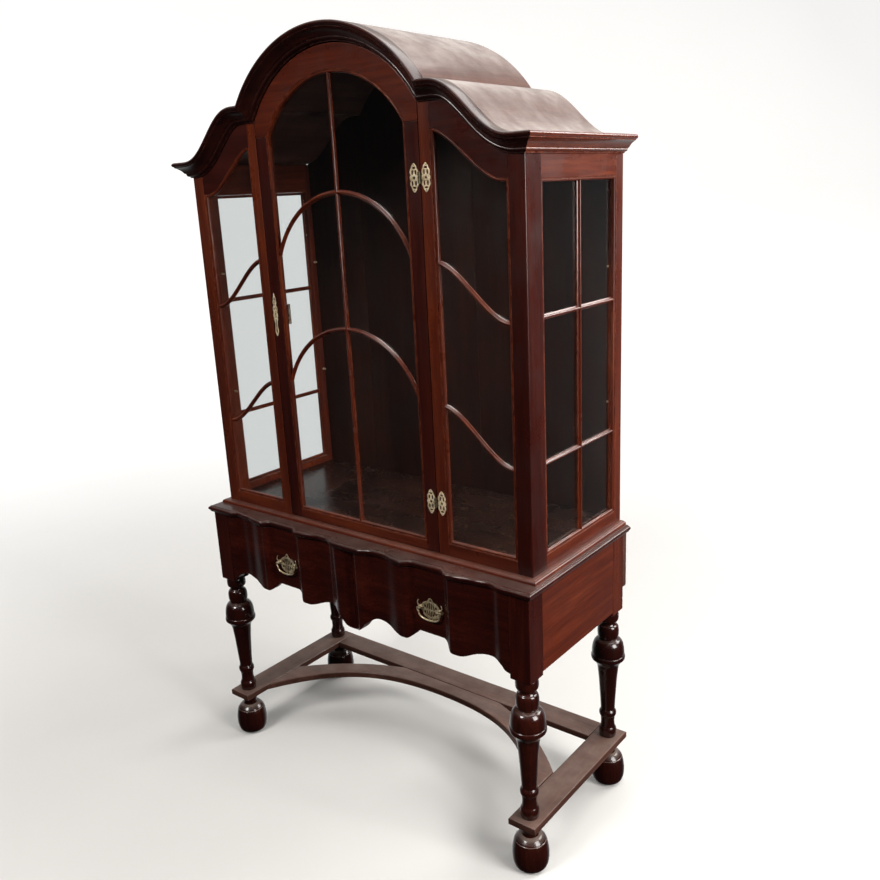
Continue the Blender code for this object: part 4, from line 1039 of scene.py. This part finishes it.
for word, sign in SIDES:
    node = "drawer_front_" + word
    x_low, x_high = 0.0006, abs(edge(node, HIGH if sign > 0 else LOW, "x"))
    xs = spaced(x_low + 0.0010, x_high - 0.0010, 300)
    rings = [front_section(x_low, 0.0008), *[front_section(x) for x in xs], front_section(x_high, 0.0008)]
    rings = [[(sign * x, y, z) for x, y, z in ring] for ring in rings]
    front = rings_to_mesh("drawer_front_board_" + word, rings, smooth=40)
    piece(front, mahogany("x", 121 + sign, MAROON, rough=0.24, coat=0.35, dust=0.15, wear=0.75), node)

    node = "drawer_box_" + word
    (x0, y0, z0), (x1, y1, z1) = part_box(node)
    y0 += 0.0002
    pale = dict(rough=0.62, coat=0.0, dust=0.15, wear=0.25)
    for i, outer in enumerate((x0, x1)):
        inward = 0.009 if i == 0 else -0.009
        tag = f"drawer_side_{word}_{i}"
        side, pins = dovetailed(tag, (outer, outer + inward), (y0, y1 - 0.0092), (z0, z1))
        piece(side, mahogany("y", 131 + i + sign, POPLAR, **pale), node)
        piece(pins, mahogany("x", 135, POPLAR, **pale), node)
    span = (x0 + 0.0092, x1 - 0.0092)
    pieces = {
        "head": (span, (y0, y0 + 0.009), (z0, z1)),
        "tail": ((x0, x1), (y1 - 0.0090, y1), (z0 + 0.0075, z1 - 0.008)),
        "floor": (span, (y0 + 0.0092, y1), (z0 + 0.0005, z0 + 0.0070)),
    }
    for i, (tag, (xs, ys, zs)) in enumerate(pieces.items()):
        board = plank(f"drawer_{tag}_{word}", xs, ys, zs, 0.0005)
        piece(board, mahogany("x", 137 + i, POPLAR, **pale), node)


# ---------------------------------------------------------------- pierced brass
def smooth_loop(points, steps=4, sharp=()):
    """A closed smooth outline through points; the listed ones stay as corners."""
    count = len(points)
    out = []
    for i in range(count):
        a, b, c, d = (Vector(points[(i + k) % count]) for k in (-1, 0, 1, 2))
        if i in sharp:
            a = b * 2 - c
        if (i + 1) % count in sharp:
            d = c * 2 - b
        out += [tuple(between(a, b, c, d, s / steps)) for s in range(steps)]
    return out


def both_halves(half):
    """A symmetric outline from its right half, bottom to top."""
    return half + [(-u, v) for u, v in half[-2:0:-1]]


def cut_outline(half):
    """The smooth outline of a symmetric plate, with a corner at its foot and its head."""
    return smooth_loop(both_halves(half), 3, sharp=(0, len(half) - 1))


def oval(u, v, wide, tall, steps=16):
    return round_arc((u, v), (wide / 2, tall / 2), 0, 360, steps)[:-1]


def drop(u, v, wide, tall, flip=1):
    """A teardrop with its point up (or down)."""
    half = [(0.0, -0.5), (0.36, -0.38), (0.5, -0.12), (0.34, 0.18), (0.12, 0.36), (0.0, 0.5)]
    loop = smooth_loop(both_halves(half), 3, sharp=(5,))
    return [(u + a * wide, v + flip * b * tall) for a, b in loop][::flip]


def slot(u, v, wide, tall, lean=0.0):
    """A round-ended slot, leaning to the right at its top by lean."""
    r = wide / 2
    ends = round_arc((0, tall / 2 - r), r, 0, 180, 6) + round_arc((0, r - tall / 2), r, 180, 360, 6)
    return [(u + a + lean * b / tall, v + b) for a, b in ends]


def pierced(name, outline, holes, place_at, back, front, bevel=0.00035):
    """Sheet metal cut to an outline, with holes and softened edges, in the front plane."""
    curve = bpy.data.curves.new(name, "CURVE")
    curve.dimensions = "2D"
    curve.fill_mode = "BOTH"
    curve.extrude = abs(back - front) / 2 - bevel
    curve.bevel_depth = bevel
    curve.bevel_resolution = 1
    curve.offset = -bevel
    for loop in (outline, *holes):
        line = curve.splines.new("POLY")
        line.points.add(len(loop) - 1)
        for point, (u, v) in zip(line.points, loop):
            point.co = (u, v, 0, 1)
        line.use_cyclic_u = True
    flat = bpy.data.objects.new(name, curve)
    bpy.context.scene.collection.objects.link(flat)
    bpy.context.view_layer.update()
    mesh = bpy.data.meshes.new_from_object(flat.evaluated_get(bpy.context.evaluated_depsgraph_get()))
    bpy.data.objects.remove(flat)
    bpy.data.curves.remove(curve)
    centre_u, centre_v = place_at
    verts = [(centre_u + v.co.x, (back + front) / 2 - v.co.z, centre_v + v.co.y) for v in mesh.vertices]
    faces = [tuple(f.vertices) for f in mesh.polygons]
    bpy.data.meshes.remove(mesh)
    return mesh_piece(name, verts, faces, 40)


def pin_head(name, x, y, z, radius, proud):
    """A low domed nail head on the front of a plate."""
    dome = [(radius, y + 0.0003), (radius, y)]
    dome += [(radius * math.cos(a), y - proud * math.sin(a)) for a in quarter(5)[1:]]
    return lathe(name, dome, (x, 0, z), "y", 20)


PLATE_HALF = mm(
    (0, -33.1), (4.2, -31.1), (6.2, -27), (10.5, -24.1), (18, -21.2), (23.5, -16.4), (26.2, -10.1),
    (31, -5.9), (37.2, -5.4), (40.8, -1.1), (40.4, 4.9), (35.6, 7.4), (30, 8.8), (25.2, 14.4),
    (18.5, 19.3), (11.2, 22), (7.8, 26.3), (4.2, 31.1), (0, 33.1),
)
PLATE_HOLES = [oval(0, 0.0256, 0.0050, 0.0058), oval(0, -0.0256, 0.0050, 0.0058)]
for side in (-1, 1):
    PLATE_HOLES += [
        slot(side * 0.0034, 0.0098, 0.0038, 0.0184, -side * 0.0016),
        slot(side * 0.0034, -0.0108, 0.0038, 0.0172, side * 0.0016),
        slot(side * 0.0102, 0.0084, 0.0040, 0.0160, -side * 0.0050),
        slot(side * 0.0102, -0.0096, 0.0040, 0.0152, side * 0.0050),
        oval(side * 0.0174, 0.0074, 0.0062, 0.0088), oval(side * 0.0176, -0.0086, 0.0066, 0.0086),
        oval(side * 0.0236, 0.0002, 0.0038, 0.0042),
    ]
PIVOT_Z = 0.659
POST_X = 0.030
for word, sign in SIDES:
    node, centre = "pull_plate_" + word, sign * PULL_X
    back, tip = edge(node, HIGH, "y"), edge(node, LOW, "y")
    front = back - 0.0015
    at = (centre, PULL_Z)
    plate = pierced("pull_openwork_" + word, cut_outline(PLATE_HALF), PLATE_HOLES, at, back, front)
    piece(plate, BRASS, node)
    pivot_y = edge("bail_" + word, LOW, "y") / 2 + edge("bail_" + word, HIGH, "y") / 2
    for i, side in enumerate((-1, 1)):
        spot = centre + side * POST_X
        post = [
            (0.0050, front), (0.0052, front - 0.0006), (0.0046, front - 0.0013), (0.0032, front - 0.0018),
            (0.0026, front - 0.0030), (0.0026, front - 0.0042), (0.0034, front - 0.0056),
            (0.0037, pivot_y + 0.0020), (0.0038, pivot_y), (0.0036, pivot_y - 0.0022),
            (0.0029, tip + 0.0012), (0.0016, tip + 0.0003), (0.0, tip),
        ]
        knob = lathe(f"pull_post_{word}_{i}", post, (spot, 0, PIVOT_Z), "y", 28)
        piece(knob, BRASS, node)
        for j, high in enumerate((-1, 1)):
            at = (centre + side * 0.0098, front, PULL_Z + high * 0.0208)
            piece(pin_head(f"pull_pin_{word}_{i}_{j}", *at, 0.0009, 0.0005), BRASS, node)
    for i, side in enumerate((-1, 1)):
        curl = [(0.0325, 0.0006, 0.0012), (0.0368, 0.0026, 0.0022), (0.0395, 0.0080, 0.0026)]
        curl += [(0.0397, 0.0130, 0.0024), (0.0380, 0.0172, 0.0018), (0.0356, 0.0186, 0.0012)]
        line = [(centre + side * across, front - proud, PIVOT_Z + up) for across, up, proud in curl]
        horn = tube(f"pull_horn_{word}_{i}", line, [0.0013, 0.0016, 0.0016, 0.0014, 0.0011, 0.0006])
        piece(horn, BRASS, node)
    wire = [(-POST_X + 0.0020, 0.0), (-0.0352, 0.0), (-0.0380, -0.0014)]
    wire += [(-0.0386, -0.0050), (-0.0366, -0.0094)]
    for i in range(9):
        angle = math.pi * (1 + i / 8)
        reach = 0.0345 - 0.004 * abs(math.cos(angle)) ** 4
        wire.append((reach * math.cos(angle) * 1.10, -0.0115 + 0.0175 * math.sin(angle)))
    wire += [(-x, z) for x, z in wire[4::-1]]
    line = spline(wire, 4)
    total = len(line) - 1
    radii = [0.00165 + 0.00080 * math.sin(math.pi * i / total) ** 4 for i in range(total + 1)]
    bail = tube("bail_wire_" + word, [(centre + x, pivot_y, PIVOT_Z + z) for x, z in line], radii)
    piece(bail, BRASS, "bail_" + word)

# ---------------------------------------------------------------- hinges, escutcheon, lock
HINGE_X, HINGE_Y = 0.2707, -0.19
LEAF_MID = 0.0172
LEAF_HALF = mm(
    (0, -32.2), (1.8, -31.2), (4, -28.8), (6.6, -26.2), (7.8, -22.2), (9.6, -18.8), (12, -15),
    (11.6, -9.6), (9.8, -6), (12.4, -2.6),
)
LEAF_HALF += [(u, -v) for u, v in LEAF_HALF[::-1]]
LEAF_HOLES = [[(0.0, -0.0044), (0.0042, 0.0), (0.0, 0.0044), (-0.0042, 0.0)]]
for up in (-1, 1):
    LEAF_HOLES += [oval(0, up * 0.0276, 0.0028, 0.0026), oval(0, up * 0.0217, 0.0100, 0.0050)]
    for side in (-1, 1):
        LEAF_HOLES.append(slot(side * 0.0050, up * 0.0118, 0.0048, 0.0108, -side * up * 0.0008))
leaf_outline = cut_outline(LEAF_HALF)
for tag in ("top", "bottom"):
    low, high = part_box(f"hinge_{tag}_frame")
    z = (low.z + high.z) / 2
    for word, sign in (("door", -1), ("frame", 1)):
        node = f"hinge_{tag}_{word}"
        back = FRONT - 0.0003
        front = back - 0.0014
        at = (HINGE_X + sign * LEAF_MID, z)
        leaf = pierced(f"hinge_openwork_{tag}_{word}", leaf_outline, LEAF_HOLES, at, back, front)
        piece(leaf, RUBBED, node)
        reach = 0.0118
        shape = [(0.0012, -reach), (0.0060, 0.0008 - reach), (0.0060, reach - 0.0008), (0.0012, reach)]
        neck = slab(f"hinge_neck_{tag}_{word}", mirrored(shape, sign), "front", (back, front), 0.0003)
        neck.data.transform(Matrix.Translation((HINGE_X, 0, z)))
        piece(neck, DARKENED_BRASS, node)
        spans = [(-0.0044, 0.0044)] if word == "door" else [(-0.0129, -0.0050), (0.0050, 0.0129)]
        for i, (z0, z1) in enumerate(spans):
            z0, z1, r, ease = z + z0, z + z1, 0.0034, 0.0005
            section = [(r - ease, z0), (r, z0 + ease), (r, z1 - ease), (r - ease, z1)]
            barrel = lathe(f"hinge_barrel_{tag}_{word}_{i}", section, (HINGE_X, HINGE_Y, 0), "z", 28)
            piece(barrel, DARKENED_BRASS, node)
        for i, side in enumerate((-1, 1)):
            for j, level in enumerate((-0.0166, 0.0166)):
                name = f"hinge_pin_{tag}_{word}_{i}_{j}"
                pin = pin_head(name, at[0] + side * 0.0076, front, z + level, 0.0010, 0.0006)
                piece(pin, BRASS, node)
    ends = [(0.0013, z - 0.0133), (0.0017, z - 0.0129), (0.0017, z + 0.0129), (0.0013, z + 0.0133)]
    pin = lathe(f"hinge_rod_{tag}", ends, (HINGE_X, HINGE_Y, 0), "z", 20)
    piece(pin, DARKENED_BRASS, f"hinge_{tag}_frame")

KEY_X, KEY_Z = -0.2592, 1.379
SHIELD_HALF = mm(
    (0, -58.8), (2.2, -55.2), (4.6, -50.5), (6, -45), (5.8, -39), (4.4, -33), (4.2, -24), (5, -17),
    (7.8, -12.5), (6.6, -8.8), (8.5, -4), (8.2, 3), (6.2, 6.8), (7.8, 10.8), (8.6, 16.5), (6.6, 22.6),
    (4.4, 26.2), (6.2, 30), (6.4, 36.2), (4.6, 41.2), (5.2, 44), (3.4, 47.8), (1.6, 53.5), (0, 58.8),
)
KEYHOLE = [(0.0021, -0.0076), (0.0012, -0.0008), (0.0026, 0.0014), (0.0023, 0.0036), (0.0, 0.0050)]
KEYHOLE += [(-x, z) for x, z in KEYHOLE[3::-1]]
SHIELD_HOLES = [
    drop(0, 0.0440, 0.0046, 0.0110), oval(0, 0.0258, 0.0030, 0.0052), oval(0, 0.0098, 0.0032, 0.0040),
    drop(-0.0026, 0.0345, 0.0030, 0.0080), drop(0.0026, 0.0345, 0.0030, 0.0080, -1),
    drop(-0.0038, 0.0170, 0.0044, 0.0094), drop(0.0038, 0.0170, 0.0044, 0.0094, -1),
    KEYHOLE, slot(0, -0.0235, 0.0038, 0.0240), drop(0, -0.0448, 0.0062, 0.0150, -1),
]
face = FRONT - 0.0017
at = (KEY_X, KEY_Z)
plate = pierced("escutcheon_openwork", cut_outline(SHIELD_HALF), SHIELD_HOLES, at, FRONT - 0.0003, face)
piece(plate, RUBBED, "escutcheon")
for i, level in enumerate((-0.0535, 0.0475)):
    pin = pin_head(f"escutcheon_pin_{i}", KEY_X, face, KEY_Z + level, 0.0009, 0.0005)
    piece(pin, BRASS, "escutcheon")
xs, zs = (KEY_X - 0.0026, KEY_X + 0.0026), (KEY_Z - 0.0070, KEY_Z + 0.0048)
dark = plank("keyway_shadow", xs, (FRONT - 0.0002, FRONT), zs)
piece(dark, mahogany("z", 141, INSIDE_SHADED, rough=0.7, coat=0.0), "escutcheon")

(x0, y0, z0), (x1, y1, z1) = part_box("lock_case")
case = plank("lock_box", (x0, x1), (y0, y1 - 0.0022), (z0, z1), 0.0012)
piece(case, STEEL, "lock_case")
xs, zs = (x0 + 0.003, x1 - 0.003), (z0 + 0.003, z1 - 0.003)
cover = plank("lock_cover", xs, (y1 - 0.0022, y1 - 0.0006), zs, 0.0005)
piece(cover, STEEL, "lock_case")
for i, (x, z) in enumerate([(x, z) for x in (x0 + 0.007, x1 - 0.007) for z in (z0 + 0.007, z1 - 0.007)]):
    section = [(0.0024, y1 - 0.0010), (0.0024, y1 - 0.0003), (0.0017, y1), (0.0, y1)]
    head = lathe(f"lock_screw_{i}", section, (x, 0, z), "y", 24)
    piece(head, STEEL, "lock_case")

# ---------------------------------------------------------------- shelf pegs in the case
rows = (1.130, 1.480)
for word, sign in SIDES:
    for i, (y, z) in enumerate([(y, z) for y in (POST_REAR - 0.024, REAR_STILE + 0.020) for z in rows]):
        x = sign * (HALF - WALL)
        section = [
            (0.0034, x + sign * 0.001), (0.0034, x - sign * 0.0035), (0.0028, x - sign * 0.0045),
            (0.0026, x - sign * 0.0095), (0.0018, x - sign * 0.0105), (0.0, x - sign * 0.0105),
        ]
        peg = lathe(f"shelf_peg_{word}_{i}", section, (0, y, z), "x", 20)
        bpy.context.scene.collection.objects.link(peg)
        peg.data.materials.append(BRASS)
        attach(peg, "cabinet")

# ---------------------------------------------------------------- studio
def backdrop(name, flat, curve, tall, segments=96):
    """A pale floor that rises into a wall all round, seen only from inside."""
    profile = [(flat * i / 6, 0.0) for i in range(7)]
    profile += [(flat + curve * math.sin(a), curve - curve * math.cos(a)) for a in quarter(12)[1:]]
    profile.append((flat + curve, tall))
    verts = [(0, 0, 0)]
    for k in range(segments):
        a = 2 * math.pi * k / segments
        verts += [(r * math.cos(a), r * math.sin(a), z) for r, z in profile[1:]]
    rows = len(profile) - 1
    faces = []
    for k in range(segments):
        one, two = 1 + k * rows, 1 + (k + 1) % segments * rows
        faces.append((0, one, two))
        faces += [(one + i, one + i + 1, two + i + 1, two + i) for i in range(rows - 1)]
    mesh = bpy.data.meshes.new(name)
    mesh.from_pydata(verts, [], faces)
    mesh.shade_smooth()
    return bpy.data.objects.new(name, mesh)


n = Nodes("studio_paper")
reach = n.new("ShaderNodeVectorMath", {0: n.place}, operation="LENGTH").outputs["Value"]
n.feed({
    "Base Color": n.mix(n.noise(n.place, 1.1, 3.0), (0.58, 0.57, 0.555), (0.64, 0.63, 0.615)),
    "Roughness": n.stretch(n.noise(n.place, 30.0, 3.0), 0.3, 0.7, 0.55, 0.65),
    "Specular IOR Level": 0.2,
    # The paper glows more the further it lies from the centre: painted light that whitens the far backdrop.
    "Emission Color": (1.0, 1.0, 1.0, 1.0), "Emission Strength": n.stretch(reach, 1.1, 4.4, 0.0, 0.60),
})
n.clear_where(n.new("ShaderNodeNewGeometry").outputs["Backfacing"])
floor = backdrop("studio_floor", 3.6, 1.6, 7.0)
floor.data.materials.append(n.material)
bpy.context.scene.collection.objects.link(floor)
floor.visible_glossy = floor.visible_diffuse = floor.visible_transmission = False

# Paper white straight through the panes, and dim to reflections in front, so that the panes stay clear.
world = bpy.data.worlds.new("studio")
bpy.context.scene.world = world
world.use_nodes = True
sky = Tree(world.node_tree)
direction = sky.new("ShaderNodeTexCoord").outputs["Generated"]
rear = sky.new("ShaderNodeVectorMath", {0: direction, 1: (-0.62, 0.78, 0.0)}, operation="DOT_PRODUCT")
height = sky.new("ShaderNodeSeparateXYZ", {0: direction}).outputs["Z"]
lobe = sky.stretch(rear.outputs["Value"], 0.25, 0.95, 0.0, 0.60)
fade = sky.stretch(height, 0.15, 0.75, 1.0, 0.35)
room = sky.plus(sky.times(lobe, fade), sky.stretch(height, 0.2, 1.0, 0.016, 0.30))
rays = sky.new("ShaderNodeLightPath").outputs
unbounced = [sky.math("LESS_THAN", rays[depth], 0.5) for depth in ("Glossy Depth", "Diffuse Depth")]
straight = sky.times(sky.times(*unbounced), rays["Is Transmission Ray"])
straight = sky.plus(straight, rays["Is Camera Ray"], clamp=True)
paper = sky.times(straight, sky.math("SUBTRACT", 0.84, room))
background = sky.tree.nodes["Background"].inputs
sky.put(background["Strength"], sky.plus(room, paper))
sky.put(background["Color"], (1.0, 1.0, 1.0, 1.0))


def soft_light(name, spot, aim, size, power, colour=(1.0, 0.98, 0.95)):
    lamp = bpy.data.lights.new(name, "AREA")
    lamp.shape = "RECTANGLE"
    lamp.size, lamp.size_y = size
    lamp.energy = power
    lamp.color = colour
    holder = bpy.data.objects.new(name, lamp)
    bpy.context.scene.collection.objects.link(holder)
    holder.location = spot
    holder.rotation_euler = (Vector(aim) - Vector(spot)).to_track_quat("-Z", "Y").to_euler()
    return holder


soft_light("key", (-0.6, -3.4, 3.9), (0, 0, 1.2), (1.3, 1.3), 135)
soft_light("side", (3.6, -0.2, 2.2), (0.5, 0, 1.1), (1.6, 2.2), 180)
soft_light("over", (0.4, 0.6, 4.4), (0, 0, 1.0), (3.0, 3.0), 110)
soft_light("rear", (2.4, 3.0, 3.2), (0.5, 0.2, 1.6), (2.6, 1.6), 170)

# ---------------------------------------------------------------- camera
YAW, PITCH, ROLL = 0.67478, 0.27513, -0.04893
ahead = Vector((-math.sin(YAW) * math.cos(PITCH), math.cos(YAW) * math.cos(PITCH), -math.sin(PITCH)))
across = Vector((math.cos(YAW), math.sin(YAW), 0.0))
above = across.cross(ahead)
right = across * math.cos(ROLL) + above * math.sin(ROLL)
above = above * math.cos(ROLL) - across * math.sin(ROLL)
lens = bpy.data.cameras.new("camera")
lens.sensor_width = 36.0
lens.lens = 36.05
camera = bpy.data.objects.new("camera", lens)
bpy.context.scene.collection.objects.link(camera)
turn = Matrix((right, above, -ahead)).transposed().to_4x4()
camera.matrix_world = Matrix.Translation((1.57912, -1.79613, 1.6819)) @ turn
bpy.context.scene.camera = camera
bpy.context.scene.view_settings.view_transform = "Standard"

bpy.context.view_layer.update()
